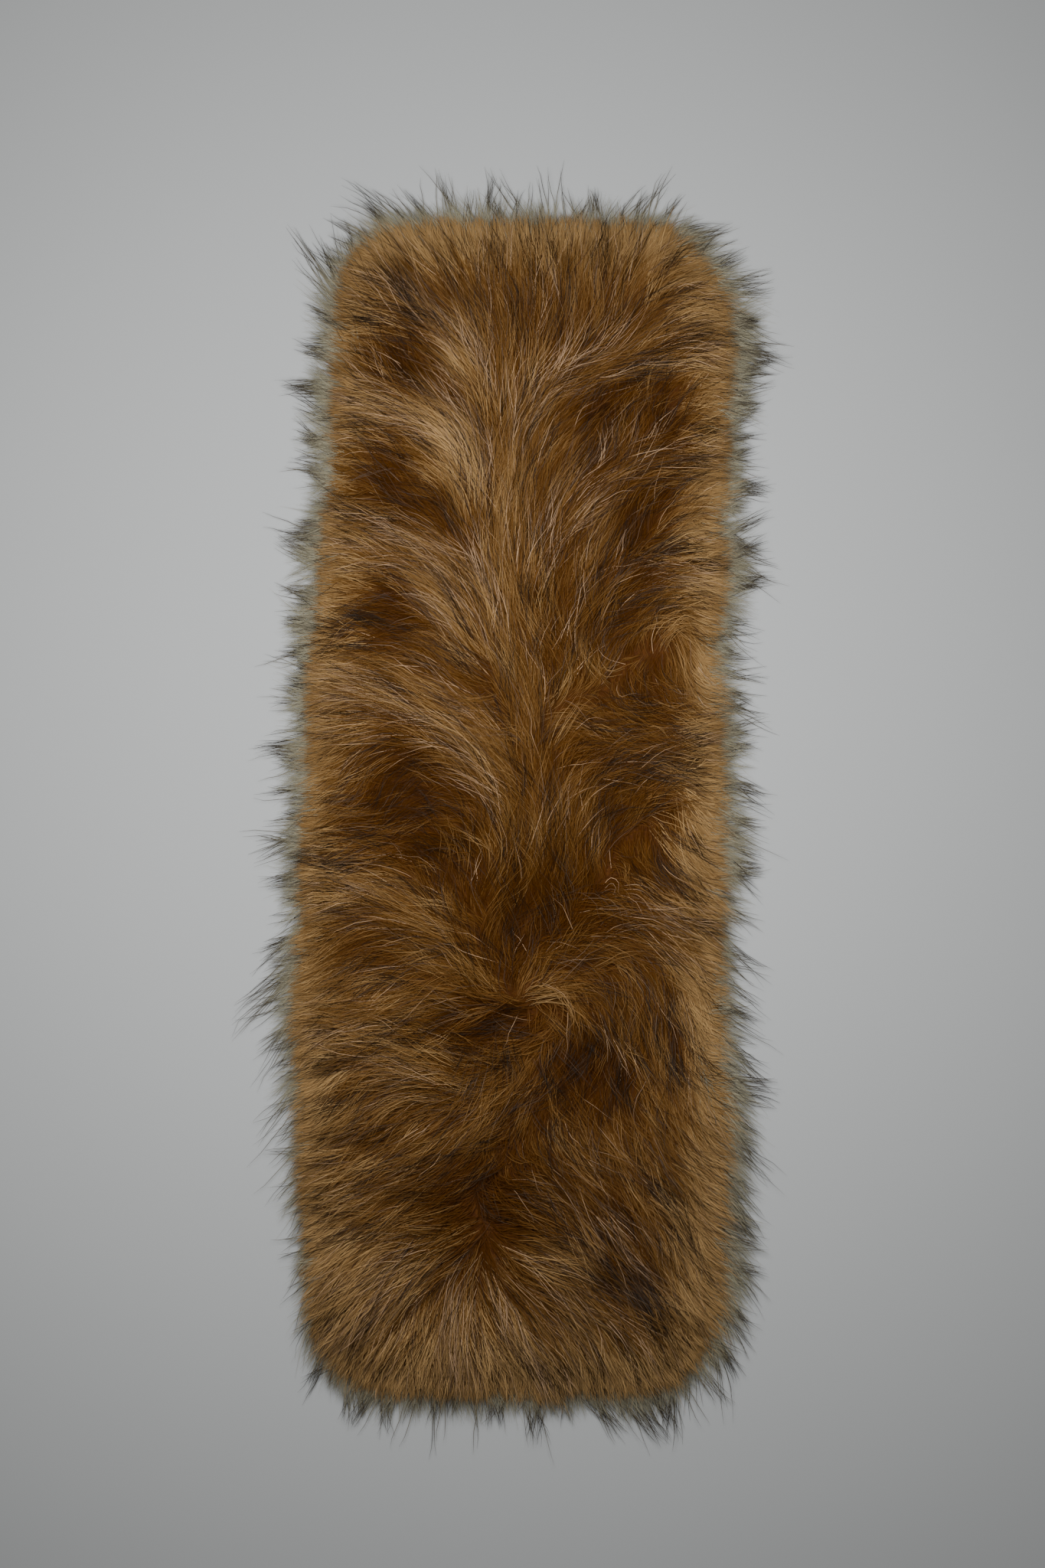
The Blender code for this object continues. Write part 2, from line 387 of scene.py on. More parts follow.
def inside_distance(points, outline):
    """How far each point lies inside a closed outline, negative outside, and the way out."""
    starts = outline
    along = np.roll(outline, -1, axis=0) - starts
    gap = points[:, None] - starts[None]
    share = np.clip((gap * along).sum(-1) / (along ** 2).sum(-1), 0, 1)
    away = gap - along * share[..., None]
    far = np.linalg.norm(away, axis=-1)
    nearest = far.argmin(axis=1)
    rows = np.arange(len(points))
    run, offset = along[nearest], gap[rows, nearest]
    side = run[:, 0] * offset[:, 1] - run[:, 1] * offset[:, 0]
    distance = np.where(side >= 0, far[rows, nearest], -far[rows, nearest])
    out = np.stack([along[nearest, 1], -along[nearest, 0]], axis=1)
    return distance, out / np.linalg.norm(out, axis=1, keepdims=True)


def evenly(outline, step):
    """A closed outline with points about step apart."""
    ring = np.vstack([outline, outline[:1]])
    run = np.concatenate([[0], np.cumsum(np.linalg.norm(np.diff(ring, axis=0), axis=1))])
    stops = np.linspace(0, run[-1], round(run[-1] / step) + 1)[:-1]
    return np.stack([np.interp(stops, run, ring[:, side]) for side in (0, 1)], axis=1)


def edge_chart(points, field):
    """One field of the edge chart, added up at each point."""
    total = np.zeros(len(points))
    for edge in EDGES:
        far = np.linalg.norm(points - (edge.x, edge.y), axis=1)
        total += getattr(edge, field) * bell(far, edge.span)
    return total


EDGE_STEP = 0.006  # between points round the pile's edge


def standing_back(outline):
    """The outline drawn in where the edge chart says that the pile stands back."""
    even = evenly(outline, EDGE_STEP)
    inwards = even - moved_out(even, 1.0)
    return even + inwards * edge_chart(even, "back")[:, None]


# How far single hairs may stand proud of the CAD's pile and of its fringe.
HAIRS_ABOVE_PILE, HAIRS_PAST_FRINGE = 0.006, 0.017

CLOTH_OUTLINE = cloth_outline()
CLOTH_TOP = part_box("backing_cloth")[1][2]
PILE_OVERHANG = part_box("fur_pile")[1][1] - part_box("backing_cloth")[1][1]
FRINGE_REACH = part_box("guard_hair_fringe")[1][1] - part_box("fur_pile")[1][1]
PILE_OUTLINE = standing_back(moved_out(CLOTH_OUTLINE, PILE_OVERHANG))
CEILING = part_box("fur_pile")[1][2] + HAIRS_ABOVE_PILE
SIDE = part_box("guard_hair_fringe")[1][0] + HAIRS_PAST_FRINGE


# ---------------------------------------------------------------- the hair's lie

# How strongly crests, streaks and the edge draw the hair their way, and over what width.
CREST_PULL, CREST_PULL_WIDTHS = 1.6, 1.2
STREAK_PULL, STREAK_PULL_WIDTHS = 1.2, 1.6
EDGE_PULL, EDGE_PULL_WIDTH = 0.6, 0.016

# Tint of the open coat, how much painted shade darkens it in the partings, and how much the rim lightens
# it.
OPEN_TINT, PARTING_SHADE, RIM_TINT = 0.46, 0.31, 0.26
RIM_BAND = (0.006, 0.018)
TINT_RANGE = (0.04, 0.95)
# Width of a crest's painted highlight against the crest's own width, its strength at the root and its fall
# to the tip.
CREST_HIGHLIGHT_WIDTHS, CREST_ROOT_HIGHLIGHT, CREST_HIGHLIGHT_FALL = 0.9, 1.2, 0.8

PARTING_TURN = 1.3  # how much more locks turn in a parting
STREAK_LENGTH = 0.7  # share of a streak that dark hairs are rooted on
CURVE_STEPS = 25  # points tried along a crest


def along_crest(crest, points):
    """Distance from each point to a crest's curve, the curve's direction there and how far along."""
    steps = np.linspace(0, 1, CURVE_STEPS)[:, None]
    root, bend, tip = (np.array(place) for place in (crest.root, crest.bend, crest.tip))
    handle = 2 * bend - (root + tip) / 2
    curve = (1 - steps) ** 2 * root + 2 * steps * (1 - steps) * handle + steps ** 2 * tip
    way = 2 * (1 - steps) * (handle - root) + 2 * steps * (tip - handle)
    far = np.linalg.norm(points[:, None] - curve[None], axis=-1)
    nearest = far.argmin(axis=1)
    way /= np.linalg.norm(way, axis=1, keepdims=True)
    return far.min(axis=1), way[nearest], steps[nearest, 0]


def combed(points):
    """The combing chart read at each point, as vectors."""
    chart = vectors(np.array([COMBING[level] for level in sorted(COMBING)], dtype=float))
    levels = np.array(sorted(COMBING)) / MILLIMETRES
    lines = np.array(COMBING_LINES) / MILLIMETRES
    row = np.clip(np.searchsorted(levels, points[:, 1]) - 1, 0, len(levels) - 2)
    column = np.clip(np.searchsorted(lines, points[:, 0]) - 1, 0, len(lines) - 2)
    up = ease((points[:, 1] - levels[row]) / (levels[row + 1] - levels[row]))[:, None]
    over = ease((points[:, 0] - lines[column]) / (lines[column + 1] - lines[column]))[:, None]
    low = chart[row, column] * (1 - over) + chart[row, column + 1] * over
    high = chart[row + 1, column] * (1 - over) + chart[row + 1, column + 1] * over
    return low * (1 - up) + high * up


def lie_of_hair(points, room, out):
    """Unit vectors along which the hair lies: combed, drawn along crests and streaks, out at the edge."""
    lie = combed(points)
    for crest in CRESTS:
        far, way, _ = along_crest(crest, points)
        lie += CREST_PULL * bell(far, crest.width * CREST_PULL_WIDTHS)[:, None] * way
    for streak in STREAKS:
        far, way = along_streak(streak, points, 1.0)
        lie += STREAK_PULL * bell(far, streak.width * STREAK_PULL_WIDTHS)[:, None] * way
    lie += EDGE_PULL * fading(room, 0, EDGE_PULL_WIDTH)[:, None] * out
    return lie / np.maximum(np.linalg.norm(lie, axis=1, keepdims=True), 1e-6)


def along_streak(streak, points, until):
    """Distance from each point to a streak's line, as far as a share of its length, and its way."""
    run = np.subtract(streak.tip, streak.root)
    share = np.clip((points - streak.root) @ run / (run @ run), 0, until)
    far = np.linalg.norm(points - streak.root - share[:, None] * run, axis=1)
    return far, run / np.linalg.norm(run)


def patch_weight(patch, points):
    """1 in the middle of a parting or a patch, fading out past its reach."""
    offset = (points - (patch.x, patch.y)) / (patch.across, patch.along)
    return np.exp(-(offset ** 2).sum(axis=1))


def crested(points):
    """How strongly each point belongs to a crest."""
    return np.max([bell(along_crest(crest, points)[0], crest.width) for crest in CRESTS], axis=0)


def parted(points):
    """How strongly each point belongs to a parting."""
    return np.max([part.shade * patch_weight(part, points) for part in PARTINGS], axis=0)


def tousled(points):
    """How far locks turn off the combing, against 1 in the open: more in partings and tousled places."""
    places = sum(place.turn * patch_weight(place, points) for place in TOUSLES)
    return 1 + places + PARTING_TURN * np.clip(parted(points), 0, 1)


def relief(points):
    """Height of the crests less the depth of the partings."""
    rises = [crest.rise * bell(along_crest(crest, points)[0], crest.width) for crest in CRESTS]
    depths = [parting.depth * patch_weight(parting, points) for parting in PARTINGS]
    return np.max(rises, axis=0) - np.max(depths, axis=0)


def crest_highlight(crest, points):
    """How much lighter a crest makes the hair: most at its root and bend, least at its tip."""
    far, _, share = along_crest(crest, points)
    fall = CREST_ROOT_HIGHLIGHT - CREST_HIGHLIGHT_FALL * share
    return crest.tint * bell(far, crest.width * CREST_HIGHLIGHT_WIDTHS) * fall


def tints(points, room):
    """How light the hair is, from 0, dark rust, to 1, cream."""
    # Crests lighten the tint with a painted highlight.
    tint = OPEN_TINT + np.max([crest_highlight(crest, points) for crest in CRESTS], axis=0)
    tint = tint + np.sum([patch.tint * patch_weight(patch, points) for patch in PATCHES], axis=0)
    # Partings darken the tint with painted shade.
    tint = tint - PARTING_SHADE * parted(points)
    return np.clip(tint + RIM_TINT * fading(room, *RIM_BAND), *TINT_RANGE)


def streak_weights(points):
    """How thickly the near-black guard hairs lie at each point."""
    weights = [
        streak.weight * bell(along_streak(streak, points, STREAK_LENGTH)[0], streak.width)
        for streak in STREAKS
    ]
    return np.max(weights, axis=0)


# ---------------------------------------------------------------- meshes

def plain_mesh(name, points, faces):
    """A new object with a mesh of these points and faces, in the scene."""
    mesh = bpy.data.meshes.new(name)
    mesh.from_pydata([tuple(point) for point in points], [], faces)
    made = bpy.data.objects.new(name, mesh)
    bpy.context.scene.collection.objects.link(made)
    return made


def store(mesh, name, values):
    """Keeps a number or a vector for each point of a mesh."""
    values = np.asarray(values, dtype=float)
    kind, field = ("FLOAT", "value") if values.ndim == 1 else ("FLOAT_VECTOR", "vector")
    layer = mesh.attributes.new(name, kind, "POINT")
    layer.data.foreach_set(field, values.ravel())


def spread_grid(outline, step):
    """Rows of points across a closed outline, about step apart, each row from left to right."""
    low, high = outline[:, 1].min(), outline[:, 1].max()
    rows = round((high - low) / step) + 1
    columns = round(np.ptp(outline[:, 0]) / step) + 1
    left = outline[outline[:, 0] < 0]
    right = outline[outline[:, 0] >= 0]
    left, right = (half[np.argsort(half[:, 1])] for half in (left, right))
    levels = np.linspace(low, high, rows)
    starts = np.interp(levels, left[:, 1], left[:, 0])
    stops = np.interp(levels, right[:, 1], right[:, 0])
    share = np.linspace(0, 1, columns)
    xs = starts[:, None] + (stops - starts)[:, None] * share
    ys = np.repeat(levels[:, None], columns, axis=1)
    return np.stack([xs, ys], axis=-1)


def grid_faces(rows, columns):
    """Quads over a grid of points, facing up."""
    return [
        (at, at + 1, at + columns + 1, at + columns)
        for row in range(rows - 1)
        for at in range(row * columns, row * columns + columns - 1)
    ]


# The packed underfur's shoulder, its least height over the cloth, and how far the pelt passes the fringe.
SHOULDER_POWER = 0.7
LEAST_HEIGHT = 0.001
PELT_MARGIN = 0.012

# How full the edge fringe is in the open, and its least and most.
OPEN_FRINGE, FRINGE_RANGE = 0.6, (0.05, 1.3)


def packed_height(points, room, settings):
    """Height of the packed underfur: a rounded shoulder all round, with the crests and partings."""
    inside = room - settings.core_inset
    climb = np.clip(inside / settings.shoulder, 0, 1)
    dome = (1 - (1 - climb) ** 2) ** SHOULDER_POWER
    droop = np.clip(1 + inside / (settings.core_inset + FRINGE_REACH), 0, 1)
    return CLOTH_TOP * droop + LEAST_HEIGHT + dome * (settings.core_height + relief(points))


def pelt_surface(settings):
    """The surface that every hair is rooted on and lies over, which carries how the hair lies there."""
    outline = moved_out(PILE_OUTLINE, FRINGE_REACH + PELT_MARGIN)
    grid = spread_grid(outline, settings.grid_step)
    rows, columns = grid.shape[:2]
    flat = grid.reshape(-1, 2)
    room, out = inside_distance(flat, PILE_OUTLINE)
    height = packed_height(flat, room, settings)
    pelt = plain_mesh("pelt", np.column_stack([flat, height]), grid_faces(rows, columns))
    level = np.zeros(len(flat))
    kept = {
        "lie": np.column_stack([lie_of_hair(flat, room, out), level]),
        "out": np.column_stack([out, level]),
        "room": room,
        "grown": room > settings.core_inset,
        "tint": tints(flat, room),
        "streak": streak_weights(flat),
        "crest": crested(flat),
        "parted": parted(flat),
        "tousled": tousled(flat),
        "fringed": np.clip(OPEN_FRINGE + edge_chart(flat, "fringe"), *FRINGE_RANGE),
    }
    for name, values in kept.items():
        store(pelt.data, name, values)
    return pelt


def grid_rim(rows, columns):
    """The points round the edge of a grid in order, anticlockwise."""
    last = (rows - 1) * columns
    right = range(columns - 1, last + columns - 1, columns)
    left = range(last, 0, -columns)
    return [*range(columns - 1), *right, *range(last + columns - 1, last, -1), *left]


def packed_core(name, settings, base):
    """The packed underfur as a closed solid that stands on a flat base."""
    rim = moved_out(PILE_OUTLINE, -settings.core_inset)
    grid = spread_grid(rim, settings.grid_step)
    rows, columns = grid.shape[:2]
    flat = grid.reshape(-1, 2)
    room = np.maximum(inside_distance(flat, PILE_OUTLINE)[0], settings.core_inset)
    top = np.column_stack([flat, packed_height(flat, room, settings)])
    ring = grid_rim(rows, columns)
    below = [(*flat[at], base) for at in ring]
    low = range(len(top), len(top) + len(ring))
    walls = [(ring[at], ring[at - 1], low[at - 1], low[at]) for at in range(len(ring))]
    faces = grid_faces(rows, columns) + walls + [tuple(low)[::-1]]
    made = plain_mesh(name, [*top, *below], faces)
    made.data.shade_smooth()
    return made


# ---------------------------------------------------------------- node trees

class Sheet:
    """A node tree being drawn up: each call adds a node and gives back an output to link on."""

    def __init__(self, tree):
        self.tree = tree

    def add(self, kind, inputs=None, output=0, **settings):
        """Adds a node, sets it up, feeds its inputs and returns one of its outputs."""
        node = self.tree.nodes.new(kind)
        count = len(self.tree.nodes)
        node.location = (count // 10 * 220, -(count % 10) * 160)
        for name, value in settings.items():
            setattr(node, name, value)
        for key, value in (inputs or {}).items():
            self.feed(self.socket(node.inputs, key), value)
        return self.socket(node.outputs, output)

    @staticmethod
    def socket(sockets, key):
        """A socket by its place, its identifier or its name."""
        if isinstance(key, int):
            return sockets[key]
        found = [socket for socket in sockets if socket.identifier == key]
        return found[0] if found else sockets[key]

    def feed(self, target, value):
        """Links an output to an input, or sets the input's own value."""
        if isinstance(value, bpy.types.NodeSocket):
            self.tree.links.new(value, target)
        else:
            target.default_value = value

    def math(self, operation, first, second=0.0, third=0.0, clamp=False):
        """One step of arithmetic."""
        inputs = {0: first, 1: second, 2: third}
        return self.add("ShaderNodeMath", inputs, operation=operation, use_clamp=clamp)

    def vector(self, operation, first, second=(0.0, 0.0, 0.0)):
        """One step of vector arithmetic."""
        return self.add("ShaderNodeVectorMath", {0: first, 1: second}, operation=operation)

    def times(self, first, *others):
        """Numbers multiplied together."""
        for other in others:
            first = self.math("MULTIPLY", first, other)
        return first

    def plus(self, first, *others):
        """Numbers added together."""
        for other in others:
            first = self.math("ADD", first, other)
        return first

    def moved(self, first, *others):
        """Vectors added together."""
        for other in others:
            first = self.vector("ADD", first, other)
        return first

    def turned(self, vector, angle):
        """A vector turned about the upward axis."""
        inputs = {"Vector": vector, "Axis": (0, 0, 1), "Angle": angle}
        return self.add("ShaderNodeVectorRotate", inputs, rotation_type="AXIS_ANGLE")

    def joined(self, x, y, z):
        """A vector made of three numbers."""
        return self.add("ShaderNodeCombineXYZ", {0: x, 1: y, 2: z})

    def part(self, vector, axis):
        """One of a vector's three numbers."""
        return self.add("ShaderNodeSeparateXYZ", {0: vector}, output=axis)

    def noise(self, place, scale, detail, output="Fac"):
        """Soft noise at a place."""
        inputs = {"Vector": place, "Scale": scale, "Detail": detail}
        return self.add("ShaderNodeTexNoise", inputs, output=output, noise_dimensions="3D")

    def scaled(self, vector, factor):
        """A vector times a number."""
        return self.add("ShaderNodeVectorMath", {0: vector, "Scale": factor}, operation="SCALE")

    def dot(self, first, second):
        """The dot product of two vectors."""
        inputs = {0: first, 1: second}
        return self.add("ShaderNodeVectorMath", inputs, output="Value", operation="DOT_PRODUCT")

    def kept(self, name, kind="FLOAT"):
        """A value kept on the geometry under a name."""
        return self.add("GeometryNodeInputNamedAttribute", {"Name": name}, data_type=kind)

    def keep(self, geometry, name, value, kind="FLOAT", domain="POINT"):
        """The geometry with a value kept on it under a name."""
        inputs = {"Geometry": geometry, "Name": name, "Value": value}
        node = "GeometryNodeStoreNamedAttribute"
        return self.add(node, inputs, data_type=kind, domain=domain)

    def chance(self, low, high, number, seed):
        """A random number between low and high for each item number."""
        inputs = {"Min_001": low, "Max_001": high, "ID": number, "Seed": seed}
        return self.add("FunctionNodeRandomValue", inputs, output="Value_001", data_type="FLOAT")


# The settings of a coat, each with its size in every coat in the order of COATS, lengths in metres.
COATS = ("underfur", "locks", "silver", "guard", "fringe", "down")
CoatSetting = namedtuple("CoatSetting", "title words kind least most sizes")
COAT_SETTINGS = [CoatSetting(*row) for row in (
    ("Strands", "Strands in each piece", "count", 10, 100000, (32500, 15500, 4200, 7500, 2600, 11500)),
    ("Points", "Points along a strand", "count", 3, 20, (4, 6, 6, 6, 7, 4)),
    ("Lock Spacing", "From lock to lock", "length", 0, 0.05, (0.005, 0.009, 0.01, 0.01, 0.0095, 0.007)),
    ("Length", "Length of a strand", "length", 0, 0.15, (0.028, 0.050, 0.046, 0.054, 0.090, 0.060)),
    ("Reach", "How far tips pass the edge", "length", 0, 0.05, (0.004, 0.004, 0.003, 0.010, 0.048, 0.036)),
    ("Width", "Width of a strand", "length", 0, 0.003,
     (0.00055, 0.00045, 0.00042, 0.00046, 0.00050, 0.00040)),
    ("Taper", "Power of the taper", "share", 0.2, 6, (2.5, 2.0, 1.8, 1.8, 4.0, 2.0)),
    ("Loft", "How high tips stand off", "length", 0, 0.04, (0.006, 0.013, 0.015, 0.015, 0.005, 0.005)),
    ("Gather", "Drawing in of locks to a point", "share", 0, 1, (0.35, 0.68, 0.78, 0.74, 0.88, 0.50)),
    ("Frizz", "Waviness of strands", "share", 0, 2, (0.5, 0.42, 0.36, 0.36, 0.26, 0.5)),
    ("Stray", "Turn of locks off the lie", "share", 0, 2, (0.25, 0.28, 0.30, 0.34, 0.48, 0.35)),
    ("Fan", "Turn of strands off their lock", "share", 0, 2, (0.25, 0.16, 0.20, 0.18, 0.14, 0.45)),
    ("Parting", "Shortening over a parting", "share", 0, 1, (0.3, 0.6, 0.5, 0.3, 0.0, 0.0)),
    ("Lock Tint", "Tint from lock to lock", "share", 0, 1, (0.10, 0.15, 0.25, 0.20, 0.25, 0.20)),
    ("Strand Tint", "Tint in a lock", "share", 0, 1, (0.10, 0.16, 0.40, 0.35, 0.40, 0.40)),
    ("Tint Shift", "Lighter or darker", "share", -1, 1, (-0.07, 0.02, 0.0, 0.0, 0.0, 0.0)),
)]
WORKED_OUT = ("Strands per Area", "Ceiling", "Side")  # inputs of the node tree that are no settings

# How much each quality varies from strand to strand or from lock to lock, and its own step in the seed.
Spread = namedtuple("Spread", "low high step")
LOCK_TURN = Spread(-1.0, 1.0, 21.0)
LOCK_PAST_EDGE = Spread(-0.006, 0.004, 30.0)
STRAND_REACH = Spread(0.7, 1.0, 31.0)
STRAND_LENGTH = Spread(0.72, 1.08, 32.0)
LOCK_LENGTH = Spread(0.82, 1.12, 33.0)
STRAND_LOFT = Spread(0.25, 1.0, 34.0)
LOCK_LOFT = Spread(0.7, 1.25, 35.0)
LOCK_TINT = Spread(-1.0, 1.0, 36.0)
STRAND_TINT = Spread(-1.0, 1.0, 37.0)
STRAND_NUMBER = Spread(0.0, 1000.0, 38.0)
STRAND_FAN = Spread(-1.0, 1.0, 39.0)
LOCK_REACH = Spread(0.4, 1.0, 40.0)
LOCK_PLACES_STEP = 11.0
LOCK_CROWD = 3.0  # locks tried for in a square of the lock spacing

# How far ahead a lock and a strand look, as shares of the coat's length.
LOCK_LOOKAHEAD, STRAND_LOOKAHEAD = 0.9, 0.72
TIP_TURN = 0.7  # the share of a lock's turn that its tip keeps
LEAST_OUTWARD = 0.45  # hair that lies along the edge is cut short as if it pointed this much outwards
EDGE_WANDER, EDGE_WANDER_SCALE, EDGE_WANDER_DETAIL = 0.010, 38.0, 2.0
SHORTEST = 0.004
CREST_LENGTH, CREST_LOFT = 0.2, 0.35  # how much longer and higher hair is on a crest
ROOT_TINT_SHARE, TIP_TINT_SHARE = 0.15, 0.85  # what the tint at a strand's root and under its tip count

# How a strand bends: its turn to the tip's heading, its gathering, its wave and its height.
LATE_SHARE = 0.5
GATHER_POWER = 1.3
WAVE_STRETCH = 1.6
CALM_BEND, TOUSLED_BEND = 0.88, 0.12
RAY_HEIGHT, RAY_LENGTH = 0.2, 0.3
FALL = 0.55  # a strand falls no more steeply than this from its root
RISE_START, RISE_BEND = 1.7, 0.7
RIPPLE = 0.4
CLEARANCE, LEAST_STRAND_HEIGHT = 0.0006, 0.001

# Ribbons: their roll and its draws, their least width, and the part of the map that they use.
ROLL, ROLL_SEED, NUMBER_STEPS = 0.7, 5, 1000.0
LEAST_WIDTH = 0.12
MAP_TINT, MAP_LENGTH, MAP_MARGIN = 0.94, 0.96, 0.02


def input_name(title):
    """The name in a script of a setting's title."""
    return title.lower().replace(" ", "_")


def coat_tree():
    """Node tree: roots strands on a pelt, gathers them in locks and combs them over as ribbons."""
    tree = bpy.data.node_groups.new("fur_coat", "GeometryNodeTree")
    kinds = {"Pelt": "Geometry", **dict.fromkeys(WORKED_OUT, "Float")}
    for setting in COAT_SETTINGS:
        if setting.title != "Strands":
            kinds[setting.title] = "Int" if setting.kind == "count" else "Float"
    kinds.update(Seed="Int", Material="Material")
    for title, kind in kinds.items():
        tree.interface.new_socket(title, in_out="INPUT", socket_type=f"NodeSocket{kind}")
    tree.interface.new_socket("Hair", in_out="OUTPUT", socket_type="NodeSocketGeometry")
    sheet = Sheet(tree)
    given = {socket.name: socket for socket in tree.nodes.new("NodeGroupInput").outputs}
    strands = combed_strands(sheet, given, rooted_strands(sheet, given))
    ribbons = strand_ribbons(sheet, given, strands)
    tree.links.new(ribbons, tree.nodes.new("NodeGroupOutput").inputs[0])
    return tree


class Roots:
    """What a coat's tree knows at each root: its place, its lock, and how both vary."""

    def __init__(self, sheet, given):
        self.sheet = sheet
        self.given = given
        self.number = sheet.add("GeometryNodeInputIndex")
        self.place = sheet.add("GeometryNodeInputPosition")
        spacing = given["Lock Spacing"]
        inputs = {
            "Mesh": given["Pelt"],
            "Distance Min": spacing,
            "Density Max": sheet.math("DIVIDE", LOCK_CROWD, sheet.times(spacing, spacing)),
            "Seed": sheet.plus(given["Seed"], LOCK_PLACES_STEP),
        }
        kind = "GeometryNodeDistributePointsOnFaces"
        self.locks = sheet.add(kind, inputs, distribute_method="POISSON")
        inputs = {"Geometry": self.locks, "Sample Position": self.place}
        self.nearest = sheet.add("GeometryNodeSampleNearest", inputs, domain="POINT")

    def chance(self, spread):
        """A number for each strand, or for each lock when it is read at the lock."""
        seed = self.sheet.plus(self.given["Seed"], spread.step)
        return self.sheet.chance(spread.low, spread.high, self.number, seed)

    def of_lock(self, value, kind="FLOAT"):
        """A value read at the strand's lock."""
        inputs = {"Geometry": self.locks, "Value": value, "Index": self.nearest}
        return self.sheet.add("GeometryNodeSampleIndex", inputs, data_type=kind, domain="POINT")

    def lock_chance(self, spread):
        """A number that all the strands of a lock share."""
        return self.of_lock(self.chance(spread))

    def of_pelt(self, value, place, kind="FLOAT"):
        """A value read from the pelt at another place."""
        inputs = {"Mesh": self.given["Pelt"], "Value": value, "Sample Position": place}
        return self.sheet.add("GeometryNodeSampleNearestSurface", inputs, data_type=kind)

    def ahead(self, way, share):
        """The place a share of the coat's length further along a way."""
        run = self.sheet.scaled(way, self.sheet.times(self.given["Length"], share))
        return self.sheet.moved(self.place, run)

    def headings(self):
        """The way each strand sets off from its root, and the way its tip points."""
        sheet = self.sheet
        turn = sheet.times(self.chance(LOCK_TURN), self.given["Stray"], sheet.kept("tousled"))
        lie = sheet.kept("lie", "FLOAT_VECTOR")
        start = sheet.turned(lie, turn)
        end = self.of_pelt(lie, self.ahead(start, LOCK_LOOKAHEAD), "FLOAT_VECTOR")
        end = sheet.turned(sheet.vector("NORMALIZE", end), sheet.times(turn, TIP_TURN))
        fan = sheet.times(self.chance(STRAND_FAN), self.given["Fan"])
        return [sheet.turned(self.of_lock(way, "FLOAT_VECTOR"), fan) for way in (start, end)]

    def room_to_edge(self, way):
        """How long a strand may be before it reaches too far past the edge."""
        sheet = self.sheet
        outward = sheet.dot(way, sheet.kept("out", "FLOAT_VECTOR"))
        outward = sheet.math("MAXIMUM", outward, LEAST_OUTWARD)
        varied = sheet.times(self.chance(STRAND_REACH), self.lock_chance(LOCK_REACH))
        reach = sheet.times(self.given["Reach"], varied, sheet.kept("reaching"))
        wander = sheet.noise(self.place, EDGE_WANDER_SCALE, EDGE_WANDER_DETAIL)
        wander = sheet.times(sheet.math("SUBTRACT", wander, 0.5), EDGE_WANDER)
        reach = sheet.plus(reach, sheet.plus(wander, self.lock_chance(LOCK_PAST_EDGE)))
        return sheet.math("DIVIDE", sheet.plus(sheet.kept("room"), reach), outward)

    def length(self, way, ahead):
        """A strand's length: more on crests, less over partings, cut short at the edge."""
        sheet = self.sheet
        length = sheet.times(
            self.given["Length"], self.chance(STRAND_LENGTH), self.lock_chance(LOCK_LENGTH),
            sheet.math("MULTIPLY_ADD", sheet.kept("crest"), CREST_LENGTH, 1.0),
        )
        cover = sheet.times(self.of_pelt(sheet.kept("parted"), ahead), self.given["Parting"])
        length = sheet.times(length, sheet.math("SUBTRACT", 1.0, cover))
        length = sheet.math("MINIMUM", length, self.room_to_edge(way))
        return sheet.math("MAXIMUM", length, SHORTEST)

    def loft(self):
        """How high a strand's tip stands off the coat, most on crests and least where it lies calm."""
        sheet = self.sheet
        return sheet.times(
            self.given["Loft"], self.chance(STRAND_LOFT), self.lock_chance(LOCK_LOFT),
            sheet.math("MULTIPLY_ADD", sheet.kept("crest"), CREST_LOFT, 1.0), sheet.kept("varied"),
        )

    def tint(self, ahead):
        """A strand's tint, mostly that of the place under its tip, varied by its lock and by itself."""
        sheet = self.sheet
        tint = sheet.times(sheet.kept("tint"), ROOT_TINT_SHARE)
        tip_tint = self.of_pelt(sheet.kept("tint"), ahead)
        tint = sheet.math("MULTIPLY_ADD", tip_tint, TIP_TINT_SHARE, tint)
        tint = sheet.plus(tint, self.given["Tint Shift"])
        spread = sheet.times(self.lock_chance(LOCK_TINT), self.given["Lock Tint"])
        own_spread = sheet.times(self.chance(STRAND_TINT), self.given["Strand Tint"])
        spread = sheet.times(sheet.plus(spread, own_spread), sheet.kept("varied"))
        return sheet.math("ADD", tint, spread, clamp=True)


def rooted_strands(sheet, given):
    """Points on the pelt, a straight strand at each, with what its lock and its place say kept on it."""
    roots = Roots(sheet, given)
    density = sheet.times(sheet.kept("density"), given["Strands per Area"])
    inputs = {"Mesh": given["Pelt"], "Density": density, "Seed": given["Seed"]}
    points = sheet.add("GeometryNodeDistributePointsOnFaces", inputs, distribute_method="RANDOM")
    start, end = roots.headings()
    ahead = roots.ahead(start, STRAND_LOOKAHEAD)
    lock_place = roots.of_lock(roots.place, "FLOAT_VECTOR")
    vectors_kept = {
        "lock_place": lock_place,
        "lock_offset": sheet.vector("SUBTRACT", roots.place, lock_place),
        "lie_start": start,
        "lie_end": end,
    }
    numbers_kept = {
        "strand_length": roots.length(start, ahead),
        "strand_loft": roots.loft(),
        "strand_tint": roots.tint(ahead),
        "strand_number": roots.chance(STRAND_NUMBER),
        "root_height": sheet.part(roots.place, 2),
    }
    for name, value in vectors_kept.items():
        points = sheet.keep(points, name, value, "FLOAT_VECTOR")
    for name, value in numbers_kept.items():
        points = sheet.keep(points, name, value)

    line = sheet.add("GeometryNodeCurvePrimitiveLine", {"Start": (0, 0, 0), "End": (0, 0, 0.01)})
    inputs = {"Curve": line, "Count": given["Points"]}
    line = sheet.add("GeometryNodeResampleCurve", inputs, mode="COUNT")
    strands = sheet.add("GeometryNodeInstanceOnPoints", {"Points": points, "Instance": line})
    return sheet.add("GeometryNodeRealizeInstances", {"Geometry": strands})


